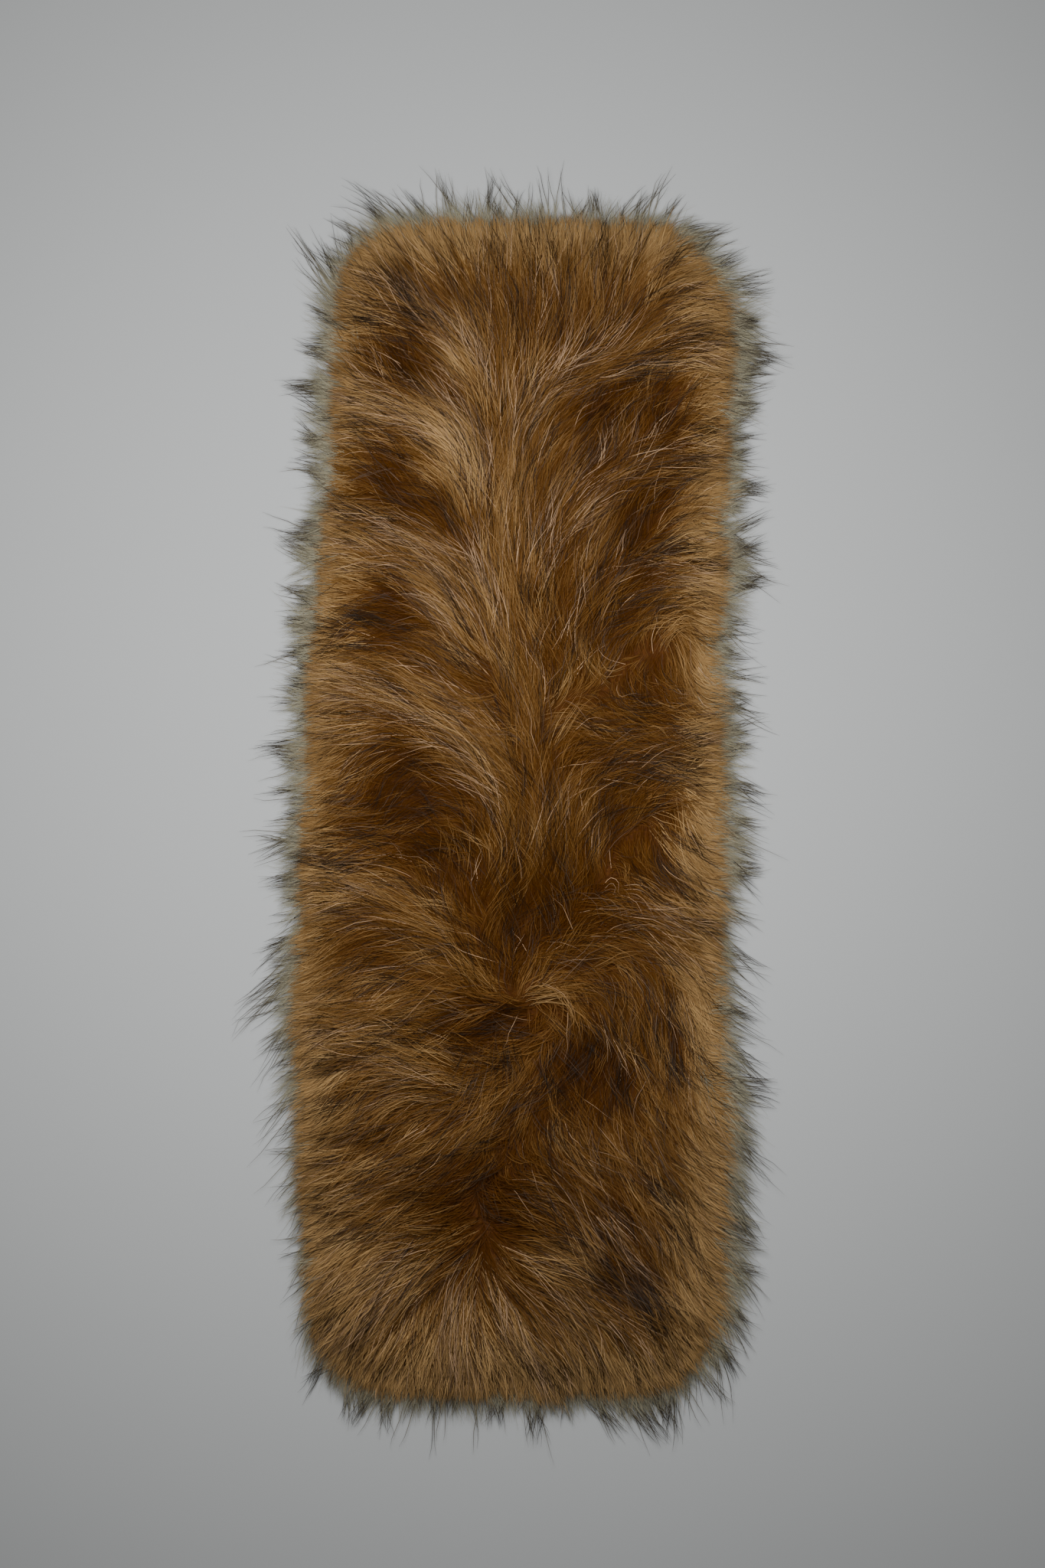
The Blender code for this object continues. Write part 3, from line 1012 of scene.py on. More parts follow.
def strand_wave(sheet, given, share, length):
    """How far a wave moves each point of a strand: more to its tip and in tousled places."""
    seat = sheet.joined(sheet.kept("strand_number"), sheet.times(share, WAVE_STRETCH), 0.0)
    wave = sheet.vector("SUBTRACT", sheet.noise(seat, 1.0, 1.0, "Color"), (0.5, 0.5, 0.5))
    looseness = sheet.math("MULTIPLY_ADD", sheet.kept("tousled"), TOUSLED_BEND, CALM_BEND)
    return sheet.scaled(wave, sheet.times(share, length, given["Frizz"], looseness))


def seen_from_above(sheet, given, share, length, wave):
    """Where each point of a strand lies seen from above: along its lie, gathered into its lock."""
    late = sheet.times(share, share, LATE_SHARE)
    early = sheet.math("SUBTRACT", share, late)
    start_run = sheet.scaled(sheet.kept("lie_start", "FLOAT_VECTOR"), sheet.times(early, length))
    end_run = sheet.scaled(sheet.kept("lie_end", "FLOAT_VECTOR"), sheet.times(late, length))
    gathered = sheet.times(sheet.math("POWER", share, GATHER_POWER), given["Gather"])
    spread = sheet.math("SUBTRACT", 1.0, gathered)
    offset = sheet.scaled(sheet.kept("lock_offset", "FLOAT_VECTOR"), spread)
    lock_place = sheet.kept("lock_place", "FLOAT_VECTOR")
    flat = sheet.moved(lock_place, offset, sheet.moved(start_run, end_run), wave)
    x = sheet.math("MINIMUM", sheet.part(flat, 0), given["Side"])
    x = sheet.math("MAXIMUM", x, sheet.times(given["Side"], -1.0))
    return x, sheet.part(flat, 1)


def pelt_height(sheet, given, x, y):
    """Height of the pelt at a place."""
    inputs = {
        "Target Geometry": given["Pelt"],
        "Source Position": sheet.joined(x, y, RAY_HEIGHT),
        "Ray Direction": (0, 0, -1),
        "Ray Length": RAY_LENGTH,
    }
    return sheet.part(sheet.add("GeometryNodeRaycast", inputs, output="Hit Position"), 2)


def combed_strands(sheet, given, strands):
    """Lays each strand along the lie of its lock, over whatever the pelt's surface is below it."""
    share = sheet.add("GeometryNodeSplineParameter", output="Factor")
    length = sheet.kept("strand_length")
    wave = strand_wave(sheet, given, share, length)
    x, y = seen_from_above(sheet, given, share, length, wave)
    arch = sheet.math("SUBTRACT", sheet.kept("root_height"), sheet.times(share, length, FALL))
    height = sheet.math("MAXIMUM", pelt_height(sheet, given, x, y), arch)
    rise = sheet.math("SUBTRACT", RISE_START, sheet.times(share, RISE_BEND))
    rise = sheet.times(share, rise, sheet.kept("strand_loft"))
    height = sheet.plus(height, rise, sheet.times(sheet.part(wave, 2), RIPPLE))
    height = sheet.math("MAXIMUM", sheet.plus(height, CLEARANCE), LEAST_STRAND_HEIGHT)
    height = sheet.math("MINIMUM", height, given["Ceiling"])
    place = sheet.joined(x, y, height)
    return sheet.add("GeometryNodeSetPosition", {"Geometry": strands, "Position": place})


def strand_ribbons(sheet, given, strands):
    """Gives each strand its tapering width and its own roll, and maps tint across and length along."""
    share = sheet.add("GeometryNodeSplineParameter", output="Factor")
    number = sheet.kept("strand_number")
    roll = sheet.chance(-ROLL, ROLL, sheet.times(number, NUMBER_STEPS), ROLL_SEED)
    roll = sheet.times(roll, sheet.kept("varied"))
    strands = sheet.add("GeometryNodeSetCurveNormal", {"Curve": strands}, mode="Z_UP")
    strands = sheet.add("GeometryNodeSetCurveTilt", {"Curve": strands, "Tilt": roll})
    strands = sheet.keep(strands, "strand_share", share)
    narrowed = sheet.math("SUBTRACT", 1.0, sheet.math("POWER", share, given["Taper"]))
    width = sheet.times(given["Width"], sheet.math("MAXIMUM", narrowed, LEAST_WIDTH))
    inputs = {"Start": (-0.5, 0, 0), "End": (0.5, 0, 0)}
    flat = sheet.add("GeometryNodeCurvePrimitiveLine", inputs)
    flat = sheet.keep(flat, "strand_side", sheet.add("GeometryNodeSplineParameter"))
    inputs = {"Curve": strands, "Profile Curve": flat, "Scale": width}
    ribbons = sheet.add("GeometryNodeCurveToMesh", inputs)
    across = sheet.math("MULTIPLY_ADD", sheet.kept("strand_tint"), MAP_TINT, MAP_MARGIN)
    across = sheet.math("MULTIPLY_ADD", sheet.kept("strand_side"), MAP_MARGIN, across)
    along = sheet.math("MULTIPLY_ADD", sheet.kept("strand_share"), MAP_LENGTH, MAP_MARGIN)
    ribbons = sheet.keep(ribbons, "OFBake", sheet.joined(across, along, 0.0), "FLOAT2", "CORNER")
    ribbons = sheet.add("GeometryNodeSetShadeSmooth", {"Geometry": ribbons}, domain="FACE")
    ribbons = sheet.add("GeometryNodeRealizeInstances", {"Geometry": ribbons})
    return sheet.add(
        "GeometryNodeSetMaterial", {"Geometry": ribbons, "Material": given["Material"]}
    )


# ---------------------------------------------------------------- finishes

GRAIN_SCALE = 420.0  # of the packed underfur's streaks

# The knit: wales and loops in metres, the loops' lean and relief, how much painted shade darkens the low
# parts of the loops, and how it is worn.
WALE_WIDTH, LOOP_HEIGHT = 0.0018, 0.0014
LOOP_LEAN, LOOP_RELIEF = 1.6, 0.25
KNIT_SHADE, WEAR, WEAR_SCALE = 0.55, 0.35, 30.0


def shader_sheet(name, **values):
    """A new material, its node sheet and its Principled shader with these values set on it."""
    made = bpy.data.materials.new(name)
    made.use_nodes = True
    shader = made.node_tree.nodes["Principled BSDF"]
    for key, value in values.items():
        shader.inputs[key.replace("_", " ")].default_value = value
    return made, Sheet(made.node_tree), shader


def ramp(sheet, factor, stops):
    """A colour ramp through (place, linear colour) stops."""
    colour = sheet.add("ShaderNodeValToRGB", {0: factor})
    elements = colour.node.color_ramp.elements
    while len(elements) < len(stops):
        elements.new(0.5)
    for element, (place, shade) in zip(elements, stops):
        element.position = place
        element.color = (*shade, 1.0)
    return colour


def blend(sheet, factor, first, second, mode="MIX"):
    """Two colours mixed."""
    inputs = {"Factor_Float": factor, "A_Color": first, "B_Color": second}
    return sheet.add(
        "ShaderNodeMix", inputs, output="Result_Color", data_type="RGBA", blend_type=mode
    )


def smooth_step(sheet, value, start, stop):
    """0 below start, 1 above stop, smooth between."""
    inputs = {"Value": value, "From Min": start, "From Max": stop}
    return sheet.add("ShaderNodeMapRange", inputs, interpolation_type="SMOOTHSTEP")


# Where along a strand its root colour ends and its tip colour begins, from 0 at the root to 1 at the tip.
ROOTED = (0.05, 0.60)
TIPPED = (0.55, 1.0)
# Lighter strands are more even along their length: by how much, and over what range of tint.
EVEN_FROM, EVEN_TO = 0.35, 0.85
EVENED, LEAST_EVEN = 0.55, 0.23

# Each kind of hair: its colours from tint 0 to 1, its root colour, and what its tip is multiplied by.
HairFinish = namedtuple("HairFinish", "shades root tips roughness gloss rooted")
HAIR_FINISHES = {
    "coat_hair": HairFinish("rust dark brown gold cream", "root", (0.92, 0.88, 0.82), 0.6, 0.07, ROOTED),
    # The single hairs' lilac carries a painted sheen besides their own greyish colour.
    "single_hair": HairFinish("black black lilac silver", "dark", (0.85, 0.85, 0.9), 0.5, 0.12, ROOTED),
    "edge_hair": HairFinish("soot olive", "down", (0.5, 0.47, 0.5), 0.5, 0.1, (0.25, 0.65)),
    "edge_down": HairFinish("olive down", "gold", (0.9, 0.92, 0.9), 0.6, 0.1, (0.05, 0.35)),
}


def hair_finish(name, colours):
    """Hair: the strand's own tint along the stops, another colour at its root, changing to its tip."""
    kind = HAIR_FINISHES[name]
    made, sheet, shader = shader_sheet(name, Roughness=kind.roughness, Specular_IOR_Level=kind.gloss)
    place = sheet.add("ShaderNodeUVMap", uv_map="OFBake")
    tint, along = sheet.part(place, 0), sheet.part(place, 1)
    shades = [getattr(colours, f"{shade}_colour") for shade in kind.shades.split()]
    body = ramp(sheet, tint, [(at / (len(shades) - 1), shade) for at, shade in enumerate(shades)])
    root = (*getattr(colours, f"{kind.root}_colour"), 1.0)
    evenness = smooth_step(sheet, tint, EVEN_FROM, EVEN_TO)
    evenness = sheet.math("MULTIPLY_ADD", evenness, EVENED, LEAST_EVEN)
    base = blend(sheet, evenness, root, body)
    colour = blend(sheet, smooth_step(sheet, along, *kind.rooted), base, body)
    tip = blend(sheet, 1.0, body, (*kind.tips, 1.0), "MULTIPLY")
    colour = blend(sheet, smooth_step(sheet, along, *TIPPED), colour, tip)
    made.node_tree.links.new(colour, shader.inputs["Base Color"])
    return made


def finish_with_bump(made, sheet, shader, colour, height, strength, distance):
    """Puts a colour and a bump on a material's shader."""
    inputs = {"Strength": strength, "Distance": distance, "Height": height}
    bump = sheet.add("ShaderNodeBump", inputs)
    made.node_tree.links.new(colour, shader.inputs["Base Color"])
    made.node_tree.links.new(bump, shader.inputs["Normal"])
    return made


def undercoat_finish(colours):
    """The packed underfur between the locks: rusty, finely streaked."""
    made, sheet, shader = shader_sheet("packed_underfur", Roughness=0.8, Specular_IOR_Level=0.15)
    grain = sheet.noise(sheet.add("ShaderNodeTexCoord", output="Object"), GRAIN_SCALE, 3.0)
    colour = ramp(sheet, grain, [(0.35, colours.root_colour), (0.7, colours.dark_colour)])
    return finish_with_bump(made, sheet, shader, colour, grain, strength=0.8, distance=0.001)


def knit_finish(colours):
    """The knitted ground seen from below: fine wales of loops."""
    made, sheet, shader = shader_sheet("knit_loops", Roughness=0.9, Specular_IOR_Level=0.15)
    place = sheet.add("ShaderNodeTexCoord", output="Object")
    across = sheet.math("SINE", sheet.times(sheet.part(place, 0), 2 * math.pi / WALE_WIDTH))
    lean = sheet.times(sheet.math("ABSOLUTE", across), LOOP_LEAN)
    along = sheet.times(sheet.part(place, 1), 2 * math.pi / LOOP_HEIGHT)
    loop = sheet.math("SINE", sheet.plus(along, lean))
    height = sheet.math("MULTIPLY_ADD", loop, LOOP_RELIEF, sheet.math("ABSOLUTE", across))
    wear = sheet.noise(place, WEAR_SCALE, 4.0)
    pale, dark = colours.cloth_colour, tuple(KNIT_SHADE * part for part in colours.cloth_colour)
    # Painted shade: the low parts of the loops are darker.
    colour = ramp(sheet, height, [(0.0, dark), (0.8, pale)])
    colour = blend(sheet, sheet.times(wear, WEAR), colour, (*dark, 1.0))
    return finish_with_bump(made, sheet, shader, colour, height, strength=0.6, distance=0.0004)


def floor_finish(colours):
    """A plain pale surface."""
    made, sheet, shader = shader_sheet("floor", Roughness=0.85, Specular_IOR_Level=0.2)
    shader.inputs["Base Color"].default_value = (*colours.floor_colour, 1.0)
    return made


# ---------------------------------------------------------------- settings

def length_setting(title, description, default, high):
    """A size in metres."""
    return bpy.props.FloatProperty(
        name=title, description=description, default=default, min=0.0, max=high, unit="LENGTH",
        precision=4,
    )


def share_setting(title, description, default, low=0.0, high=1.0):
    """A plain share."""
    return bpy.props.FloatProperty(
        name=title, description=description, default=default, min=low, max=high
    )


def colour_setting(title, description, default):
    """A linear colour."""
    return bpy.props.FloatVectorProperty(
        name=title, description=description, default=default, min=0.0, max=1.0, size=3,
        subtype="COLOR",
    )


class WrapShape(bpy.types.PropertyGroup):
    """Sizes of the body that the hair is rooted on."""

    core_height: length_setting("Core Height", "Packed underfur above the cloth", 0.023, 0.1)
    core_inset: length_setting("Core Inset", "Packed underfur inside the dense edge", 0.006, 0.02)
    shoulder: length_setting("Shoulder", "Rounding of the core at its edge", 0.045, 0.1)
    grid_step: length_setting("Grid Step", "Spacing of the points that carry the lie", 0.005, 0.02)


class WrapColours(bpy.types.PropertyGroup):
    """Colours of the hair, the ground cloth and the floor."""

    root_colour: colour_setting("Roots", "Rusty roots of the hair", paint(72, 37, 6))
    rust_colour: colour_setting("Rust", "Deepest hair in the partings", paint(56, 29, 3))
    dark_colour: colour_setting("Dark", "Dark brown hair", paint(91, 53, 9))
    brown_colour: colour_setting("Brown", "Middle brown hair", paint(129, 92, 46))
    gold_colour: colour_setting("Gold", "Golden hair", paint(180, 144, 94))
    cream_colour: colour_setting("Cream", "Lightest hair of the coat", paint(212, 172, 116))
    black_colour: colour_setting("Near-black", "Darkest guard hairs", paint(30, 21, 11))
    # Lilac: greyish guard hair colour that also carries a painted sheen.
    lilac_colour: colour_setting("Lilac", "Greyish guard hairs", paint(98, 76, 57))
    # Silver: pale single hair colour that also stands for painted glints.
    silver_colour: colour_setting("Silver", "Lightest single hairs", paint(210, 172, 132))
    soot_colour: colour_setting("Soot", "Darker edge hairs", paint(50, 43, 36))
    olive_colour: colour_setting("Olive", "Lighter edge hairs", paint(112, 104, 85))
    down_colour: colour_setting("Down", "Short fine hairs at the edge", paint(182, 175, 148))
    cloth_colour: colour_setting("Cloth", "Knitted ground", paint(150, 130, 106))
    floor_colour: colour_setting("Floor", "Surface that the wrap lies on", paint(196, 198, 198))


def count_setting(title, description, default, low, high):
    """A whole number."""
    return bpy.props.IntProperty(
        name=title, description=description, default=default, min=low, max=high
    )


def coat_setting(setting, size):
    """One setting of a coat, with its size there as the default."""
    if setting.kind == "length":
        return length_setting(setting.title, setting.words, size, setting.most)
    made = count_setting if setting.kind == "count" else share_setting
    return made(setting.title, setting.words, size, setting.least, setting.most)


def coat_group(coat):
    """A property group with the sizes of one coat of hair as its defaults."""
    column = COATS.index(coat)
    parts = {
        input_name(setting.title): coat_setting(setting, setting.sizes[column])
        for setting in COAT_SETTINGS
    }
    members = {"__annotations__": parts, "__doc__": f"Sizes of the coat called {coat}."}
    return type(f"{coat.title()}Settings", (bpy.types.PropertyGroup,), members)


COAT_GROUPS = {coat: coat_group(coat) for coat in COATS}


class StageSettings(bpy.types.PropertyGroup):
    """Sizes of the studio stage."""

    view_height: length_setting("Camera Height", "Camera above the floor", 3.0, 10.0)
    view_length: length_setting("View Length", "Length of floor in the picture", 1.1436, 5.0)
    view_x: bpy.props.FloatProperty(
        name="Camera X", description="Camera across the wrap", default=0.007, unit="LENGTH"
    )
    view_y: bpy.props.FloatProperty(
        name="Camera Y", description="Camera along the wrap", default=0.0184, unit="LENGTH"
    )
    floor_size: length_setting("Floor Size", "Side of the floor", 14.0, 20.0)
    key_power: bpy.props.FloatProperty(
        name="Key Power", description="Power of the overhead softbox", default=8.6, unit="POWER"
    )
    key_height: length_setting("Key Height", "Softbox above the floor", 0.80, 5.0)
    key_size: length_setting("Key Size", "Side of the softbox", 0.5, 5.0)
    sky_strength: share_setting("Sky Strength", "Even light from all round", 0.07, 0.0, 5.0)


class FurWrap(bpy.types.PropertyGroup):
    """Everything about the wrap that can be set."""

    shape: bpy.props.PointerProperty(type=WrapShape, name="Shape")
    colours: bpy.props.PointerProperty(type=WrapColours, name="Colours")
    underfur: bpy.props.PointerProperty(type=COAT_GROUPS["underfur"], name="Underfur")
    locks: bpy.props.PointerProperty(type=COAT_GROUPS["locks"], name="Locks")
    silver: bpy.props.PointerProperty(type=COAT_GROUPS["silver"], name="Silver Hairs")
    guard: bpy.props.PointerProperty(type=COAT_GROUPS["guard"], name="Guard Hairs")
    fringe: bpy.props.PointerProperty(type=COAT_GROUPS["fringe"], name="Edge Fringe")
    down: bpy.props.PointerProperty(type=COAT_GROUPS["down"], name="Edge Down")
    stage: bpy.props.PointerProperty(type=StageSettings, name="Stage")


# ---------------------------------------------------------------- making the coats

GAP_ON_CLOTH = 0.0003  # between the ground cloth and the packed underfur

CALMED = 0.68  # how much less hair varies where the coat lies smooth
CALM_RIM, CALM_END = 0.026, 0.060  # widths of the smooth rim and the smooth narrow end


def plain_copy(host, name):
    """The evaluated form of an object with modifiers as a plain mesh object; the host is removed."""
    graph = bpy.context.evaluated_depsgraph_get()
    mesh = bpy.data.meshes.new_from_object(host.evaluated_get(graph), depsgraph=graph)
    mesh.name = name
    made = bpy.data.objects.new(name, mesh)
    bpy.context.scene.collection.objects.link(made)
    bpy.data.objects.remove(host)
    kept = {"position", "material_index", "sharp_face", "OFBake"}
    for layer in [a.name for a in mesh.attributes if a.name not in kept and not a.is_required]:
        if not layer.startswith("."):
            mesh.attributes.remove(mesh.attributes[layer])
    return made


def coat(name, settings, density, finish, seed, tint=None, reaching=None):
    """One coat of hair grown on the pelt where density says, as a plain mesh."""
    pelt = bpy.data.objects["pelt"]
    host = pelt.copy()
    host.data = pelt.data.copy()
    bpy.context.scene.collection.objects.link(host)
    density = density * pelt_values("grown")
    store(host.data, "density", density)
    store(host.data, "reaching", np.ones(len(density)) if reaching is None else reaching)
    if tint is None:
        store(host.data, "varied", 1 - CALMED * calm_share())
    else:
        store(host.data, "varied", np.ones(len(density)))
        host.data.attributes["tint"].data.foreach_set("value", np.full(len(density), tint))
    values = {
        setting.title: getattr(settings, input_name(setting.title)) for setting in COAT_SETTINGS
    }
    per_area = values.pop("Strands") / grown_area(host.data, density)
    values.update(zip(WORKED_OUT, (per_area, CEILING, SIDE)), Seed=seed, Material=finish)
    tree = bpy.data.node_groups.get("fur_coat") or coat_tree()
    grown = host.modifiers.new("fur_coat", "NODES")
    grown.node_group = tree
    sockets = {s.name: s.identifier for s in tree.interface.items_tree if s.in_out == "INPUT"}
    for title, value in values.items():
        grown[sockets[title]] = value
    made = plain_copy(host, name)
    if len(made.data.polygons) < settings.strands:
        raise RuntimeError(f"{name} grew only {len(made.data.polygons)} faces")
    return made


def grown_area(mesh, density):
    """The pelt's area times how much of it is grown on."""
    areas = np.empty(len(mesh.polygons))
    mesh.polygons.foreach_get("area", areas)
    corners = np.empty(len(mesh.loops), dtype=int)
    mesh.loops.foreach_get("vertex_index", corners)
    return float((areas * density[corners].reshape(-1, 4).mean(axis=1)).sum())


def pelt_values(name):
    """A number kept at each point of the pelt, or the points themselves."""
    mesh = bpy.data.objects["pelt"].data
    if name == "position":
        values = np.empty(len(mesh.vertices) * 3)
        mesh.vertices.foreach_get("co", values)
        return values.reshape(-1, 3)
    values = np.empty(len(mesh.vertices))
    mesh.attributes[name].data.foreach_get("value", values)
    return values


def rim_band(start, width):
    """1 at the pelt's points past the edge and up to start inside it, fading over width."""
    return fading(pelt_values("room"), start, width)


def short_of_end(y):
    """How far a place is short of the pile's narrow end."""
    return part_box("fur_pile")[1][1] - y


def calm_share():
    """How far the coat lies smooth at each point of the pelt: along the rim and at the narrow end."""
    end = short_of_end(pelt_values("position")[:, 1])
    return np.maximum(bell(pelt_values("room"), CALM_RIM), bell(end, CALM_END))


def finish_of(name, colours):
    """A kind of hair's material, made once."""
    return bpy.data.materials.get(name) or hair_finish(name, colours)


def finish_piece(piece, node):
    """Says which node a piece stands for, which slot it is painted from and that it is on the wrap."""
    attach(piece, "root")
    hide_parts(node)


def halves():
    """Names and masks of the wrap's two halves, which keep each piece's triangles few."""
    y = pelt_values("position")[:, 1]
    return (("narrow_end", (y >= 0).astype(float)), ("wide_end", (y < 0).astype(float)))


# ---------------------------------------------------------------- operators

# Seeds of the coats, and the tints of the four that keep to one tint all over.
SEEDS = {"underfur": 101, "locks": 201, "silver": 301, "guard": 401, "fringe": 501, "down": 601}
ONE_TINT = {"silver": 0.76, "guard": 0.28, "fringe": 0.45, "down": 0.5}

# How thickly strands grow, and how far tufts reach: bands at the edge are a start and a width in metres.
UNDERFUR_BAND, UNDERFUR_AT_EDGE = (0.014, 0.012), 0.5
LOCKS_ON_CRESTS, LOCKS_IN_PARTINGS, LOCKS_RANGE = 0.3, 0.75, (0.2, 1.3)
SINGLES_RIM = 0.032
SILVER_OPEN, SILVER_AT_RIM, SILVER_IN_PARTINGS = 0.14, 0.8, 0.7
GUARD_OPEN, GUARD_AT_RIM, GUARD_CALMED, STREAKS_AT_RIM = 0.16, 0.9, 0.4, 0.6
FRINGE_BAND, FRINGE_THIN, FRINGE_FULL = (0.010, 0.004), 0.08, 0.8
TUFTS_THIN, TUFTS_FULL, TUFTS_AT_ENDS, ENDS_WIDTH = 0.6, 0.4, 0.24, 0.030
DOWN_BAND, DOWN_THIN, DOWN_FULL = (0.008, 0.004), 0.4, 0.6


def grow_halves(context, name, weight):
    """Grows a coat in two pieces, one for each half of the wrap."""
    wrap = context.scene.fur_wrap
    finish = hair_finish("coat_hair", wrap.colours)
    for step, (half, mask) in enumerate(halves()):
        made = coat(f"{name}_{half}", getattr(wrap, name), mask * weight, finish, SEEDS[name] + step)
        finish_piece(made, "fur_pile")


def grow(context, name, group, weight, finish, node, reaching=None):
    """Grows a coat of one tint in one piece."""
    wrap = context.scene.fur_wrap
    finish = finish_of(finish, wrap.colours)
    settings, seed, tint = getattr(wrap, group), SEEDS[group], ONE_TINT[group]
    finish_piece(coat(name, settings, weight, finish, seed, tint, reaching), node)


class FURWRAP_OT_pelt(bpy.types.Operator):
    """Make the surface that the hair is rooted on, and comb it."""

    bl_idname = "furwrap.pelt"
    bl_label = "Pelt"

    def execute(self, context):
        pelt_surface(context.scene.fur_wrap.shape)
        return {"FINISHED"}


class FURWRAP_OT_undercoat(bpy.types.Operator):
    """Make the packed underfur that shows between the locks."""

    bl_idname = "furwrap.undercoat"
    bl_label = "Undercoat"

    def execute(self, context):
        wrap = context.scene.fur_wrap
        made = packed_core("undercoat", wrap.shape, CLOTH_TOP + GAP_ON_CLOTH)
        made.data.materials.append(undercoat_finish(wrap.colours))
        finish_piece(made, "fur_pile")
        return {"FINISHED"}


class FURWRAP_OT_underfur(bpy.types.Operator):
    """Grow the fine underfur, thickest near the edge."""

    bl_idname = "furwrap.underfur"
    bl_label = "Underfur"

    def execute(self, context):
        grow_halves(context, "underfur", 1 + UNDERFUR_AT_EDGE * rim_band(*UNDERFUR_BAND))
        return {"FINISHED"}


class FURWRAP_OT_locks(bpy.types.Operator):
    """Grow the long locks on top, thickest on the crests and thinnest in the partings."""

    bl_idname = "furwrap.locks"
    bl_label = "Locks"

    def execute(self, context):
        crests, partings = pelt_values("crest"), pelt_values("parted")
        weight = 1.0 + LOCKS_ON_CRESTS * crests - LOCKS_IN_PARTINGS * partings
        grow_halves(context, "locks", np.clip(weight, *LOCKS_RANGE))
        return {"FINISHED"}


class FURWRAP_OT_pale_and_glint_hairs(bpy.types.Operator):
    """Grow the light single hairs on top."""

    bl_idname = "furwrap.silver_hairs"
    bl_label = "Silver Hairs"

    def execute(self, context):
        rim = bell(pelt_values("room"), SINGLES_RIM)
        weight = (SILVER_OPEN + pelt_values("crest")) * (1 - SILVER_AT_RIM * rim)
        partings = np.clip(pelt_values("parted"), 0, 1)
        weight *= (1 - SILVER_IN_PARTINGS * partings) / pelt_values("tousled") ** 2
        grow(context, "pale_and_glint_hairs", "silver", weight, "single_hair", "fur_pile")
        return {"FINISHED"}


class FURWRAP_OT_guard_hairs(bpy.types.Operator):
    """Grow the dark single hairs on top, thickest in the streaks."""

    bl_idname = "furwrap.guard_hairs"
    bl_label = "Guard Hairs"

    def execute(self, context):
        rim = bell(pelt_values("room"), SINGLES_RIM)
        weight = GUARD_OPEN * (1 - GUARD_AT_RIM * rim) * (1 - GUARD_CALMED * calm_share())
        weight += pelt_values("streak") * (1 - STREAKS_AT_RIM * rim)
        grow(context, "guard_hairs", "guard", weight, "single_hair", "fur_pile")
        return {"FINISHED"}


class FURWRAP_OT_edge_fringe(bpy.types.Operator):
    """Grow the dark tufts that reach past the edge, a little further at both ends."""

    bl_idname = "furwrap.edge_fringe"
    bl_label = "Edge Fringe"

    def execute(self, context):
        full = pelt_values("fringed")
        weight = rim_band(*FRINGE_BAND) * (FRINGE_THIN + FRINGE_FULL * full)
        ends = fading(short_of_end(np.abs(pelt_values("position")[:, 1])), 0, ENDS_WIDTH)
        reaching = TUFTS_THIN + TUFTS_FULL * full + TUFTS_AT_ENDS * ends
        node = "guard_hair_fringe"
        grow(context, "edge_fringe", "fringe", weight, "edge_hair", node, reaching)
        return {"FINISHED"}


class FURWRAP_OT_edge_down(bpy.types.Operator):
    """Grow the short fine hairs that blur the edge."""

    bl_idname = "furwrap.edge_down"
    bl_label = "Edge Down"

    def execute(self, context):
        reaching = DOWN_THIN + DOWN_FULL * pelt_values("fringed")
        weight = rim_band(*DOWN_BAND) * reaching
        grow(context, "edge_down", "down", weight, "edge_down", "guard_hair_fringe", reaching)
        return {"FINISHED"}


class FURWRAP_OT_ground_cloth(bpy.types.Operator):
    """Make the knitted ground cloth, and say that it is a sheet with the hair on it."""

    bl_idname = "furwrap.ground_cloth"
    bl_label = "Ground Cloth"

    def execute(self, context):
        made = closed_slab("ground_cloth", CLOTH_OUTLINE, 0.0, CLOTH_TOP)
        made.data.materials.append(knit_finish(context.scene.fur_wrap.colours))
        finish_piece(made, "backing_cloth")
        area = enclosed_area(CLOTH_OUTLINE)
        return {"FINISHED"}


class FURWRAP_OT_stage(bpy.types.Operator):
    """Set up the floor, the soft studio light and the camera."""

    bl_idname = "furwrap.stage"
    bl_label = "Studio Stage"

    def execute(self, context):
        build_stage(context.scene, context.scene.fur_wrap)
        return {"FINISHED"}


def enclosed_area(outline):
    """The area inside a closed outline."""
    x, y = outline.T
    ahead_x, ahead_y = np.roll(outline, -1, axis=0).T
    return float(0.5 * np.abs((x * ahead_y - y * ahead_x).sum()))


def closed_slab(name, outline, low, high):
    """A flat plate of a closed outline, with its faces out."""
    count = len(outline)
    points = [(*point, height) for height in (low, high) for point in outline]
    walls = [(at, (at + 1) % count, count + (at + 1) % count, count + at) for at in range(count)]
    caps = [tuple(range(count))[::-1], tuple(range(count, 2 * count))]
    return plain_mesh(name, points, walls + caps)


SOFTBOX_PLACE = (-0.04, 0.14)
SENSOR_HEIGHT = 24.0  # millimetres
FURTHEST_SEEN = 50.0


def build_stage(scene, wrap):
    """Floor, overhead softbox, even sky and a camera straight above."""
    lay_floor(wrap)
    hang_softbox(scene, wrap.stage)
    light_sky(scene, wrap.stage)
    set_camera(scene, wrap.stage)


def lay_floor(wrap):
    """The surface that the wrap lies on."""
    half = wrap.stage.floor_size / 2
    corners = [(-half, -half, 0), (half, -half, 0), (half, half, 0), (-half, half, 0)]
    floor = plain_mesh("floor", corners, [(0, 1, 2, 3)])
    floor.data.materials.append(floor_finish(wrap.colours))
    floor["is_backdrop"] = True


def hang_softbox(scene, stage):
    """The broad soft light above the wrap."""
    lamp = bpy.data.lights.new("softbox", "AREA")
    lamp.shape = "SQUARE"
    lamp.size = stage.key_size
    lamp.energy = stage.key_power
    softbox = bpy.data.objects.new("softbox", lamp)
    softbox.location = (*SOFTBOX_PLACE, stage.key_height)
    softbox.visible_camera = False
    scene.collection.objects.link(softbox)


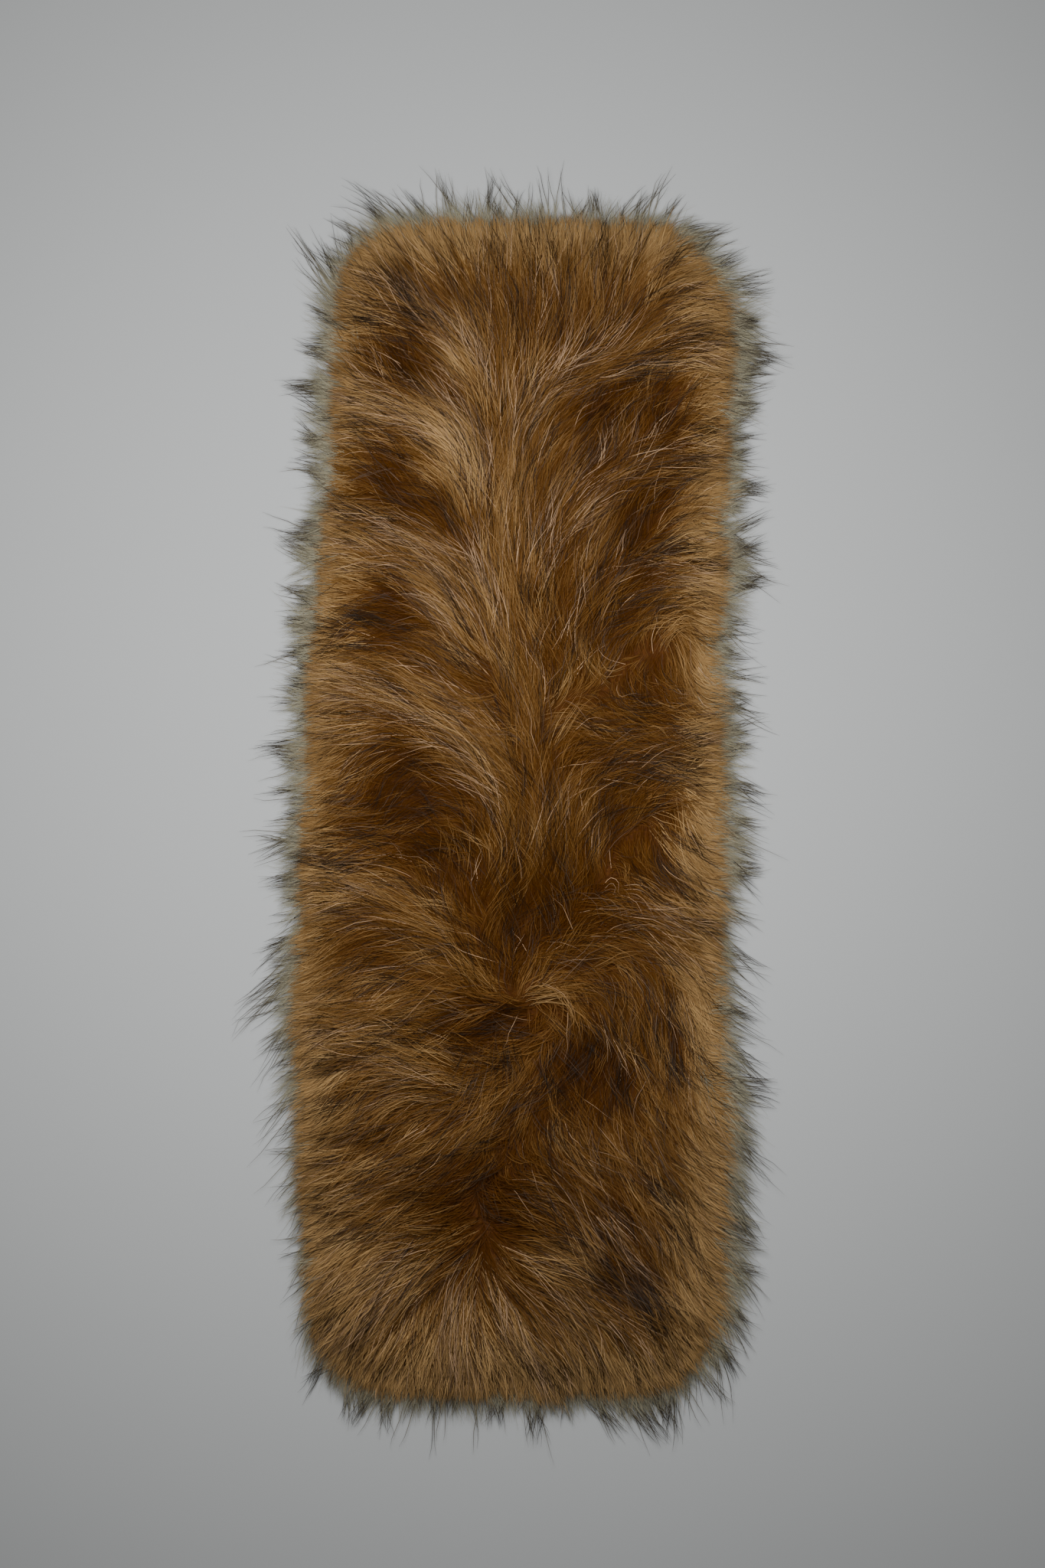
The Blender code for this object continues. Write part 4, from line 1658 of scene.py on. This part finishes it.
def light_sky(scene, stage):
    """Even light from all round."""
    world = bpy.data.worlds.new("studio")
    world.use_nodes = True
    sky = world.node_tree.nodes["Background"]
    sky.inputs["Color"].default_value = (1.0, 1.0, 1.0, 1.0)
    sky.inputs["Strength"].default_value = stage.sky_strength
    scene.world = world


def set_camera(scene, stage):
    """A camera straight above, as long a view as the setting says."""
    view = bpy.data.cameras.new("camera")
    view.sensor_fit = "VERTICAL"
    view.sensor_height = SENSOR_HEIGHT
    view.lens = view.sensor_height * stage.view_height / stage.view_length
    view.clip_end = FURTHEST_SEEN
    camera = bpy.data.objects.new("camera", view)
    camera.location = (stage.view_x, stage.view_y, stage.view_height)
    scene.collection.objects.link(camera)
    scene.camera = camera


OPERATORS = (
    FURWRAP_OT_stage,
    FURWRAP_OT_pelt,
    FURWRAP_OT_undercoat,
    FURWRAP_OT_underfur,
    FURWRAP_OT_locks,
    FURWRAP_OT_pale_and_glint_hairs,
    FURWRAP_OT_guard_hairs,
    FURWRAP_OT_edge_fringe,
    FURWRAP_OT_edge_down,
    FURWRAP_OT_ground_cloth,
)


class FURWRAP_PT_panel(bpy.types.Panel):
    """The wrap's steps, in order, with the settings of each."""

    bl_idname = "FURWRAP_PT_panel"
    bl_label = "Fur Wrap"
    bl_space_type = "VIEW_3D"
    bl_region_type = "UI"
    bl_category = "Fur Wrap"

    def draw(self, context):
        wrap = context.scene.fur_wrap
        for operator in OPERATORS:
            self.layout.operator(operator.bl_idname)
        for group in wrap.bl_rna.properties.keys():
            if group in ("rna_type", "name"):
                continue
            box = self.layout.box()
            box.label(text=wrap.bl_rna.properties[group].name)
            settings = getattr(wrap, group)
            for name in settings.__annotations__:
                box.prop(settings, name)


GROUPS = (
    WrapShape,
    WrapColours,
    *COAT_GROUPS.values(),
    StageSettings,
    FurWrap,
)


def register():
    """Tells Blender about the settings, the steps and the panel."""
    for kind in (*GROUPS, *OPERATORS, FURWRAP_PT_panel):
        bpy.utils.register_class(kind)
    bpy.types.Scene.fur_wrap = bpy.props.PointerProperty(type=FurWrap, name="Fur Wrap")


def unregister():
    """Takes the settings, the steps and the panel away again."""
    del bpy.types.Scene.fur_wrap
    for kind in (FURWRAP_PT_panel, *reversed(OPERATORS), *reversed(GROUPS)):
        bpy.utils.unregister_class(kind)


def main():
    """Builds the wrap and its stage, step by step, and writes down how large it came out."""
    register()
    for operator in OPERATORS:
        group, name = operator.bl_idname.split(".")
        getattr(getattr(bpy.ops, group), name)()
    bpy.data.objects.remove(bpy.data.objects["pelt"])
    boxes = {"cad": CAD_BOX, "looks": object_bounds()}
    boxes = {name: [list(map(float, corner)) for corner in box] for name, box in boxes.items()}


if __name__ == "__main__":
    main()
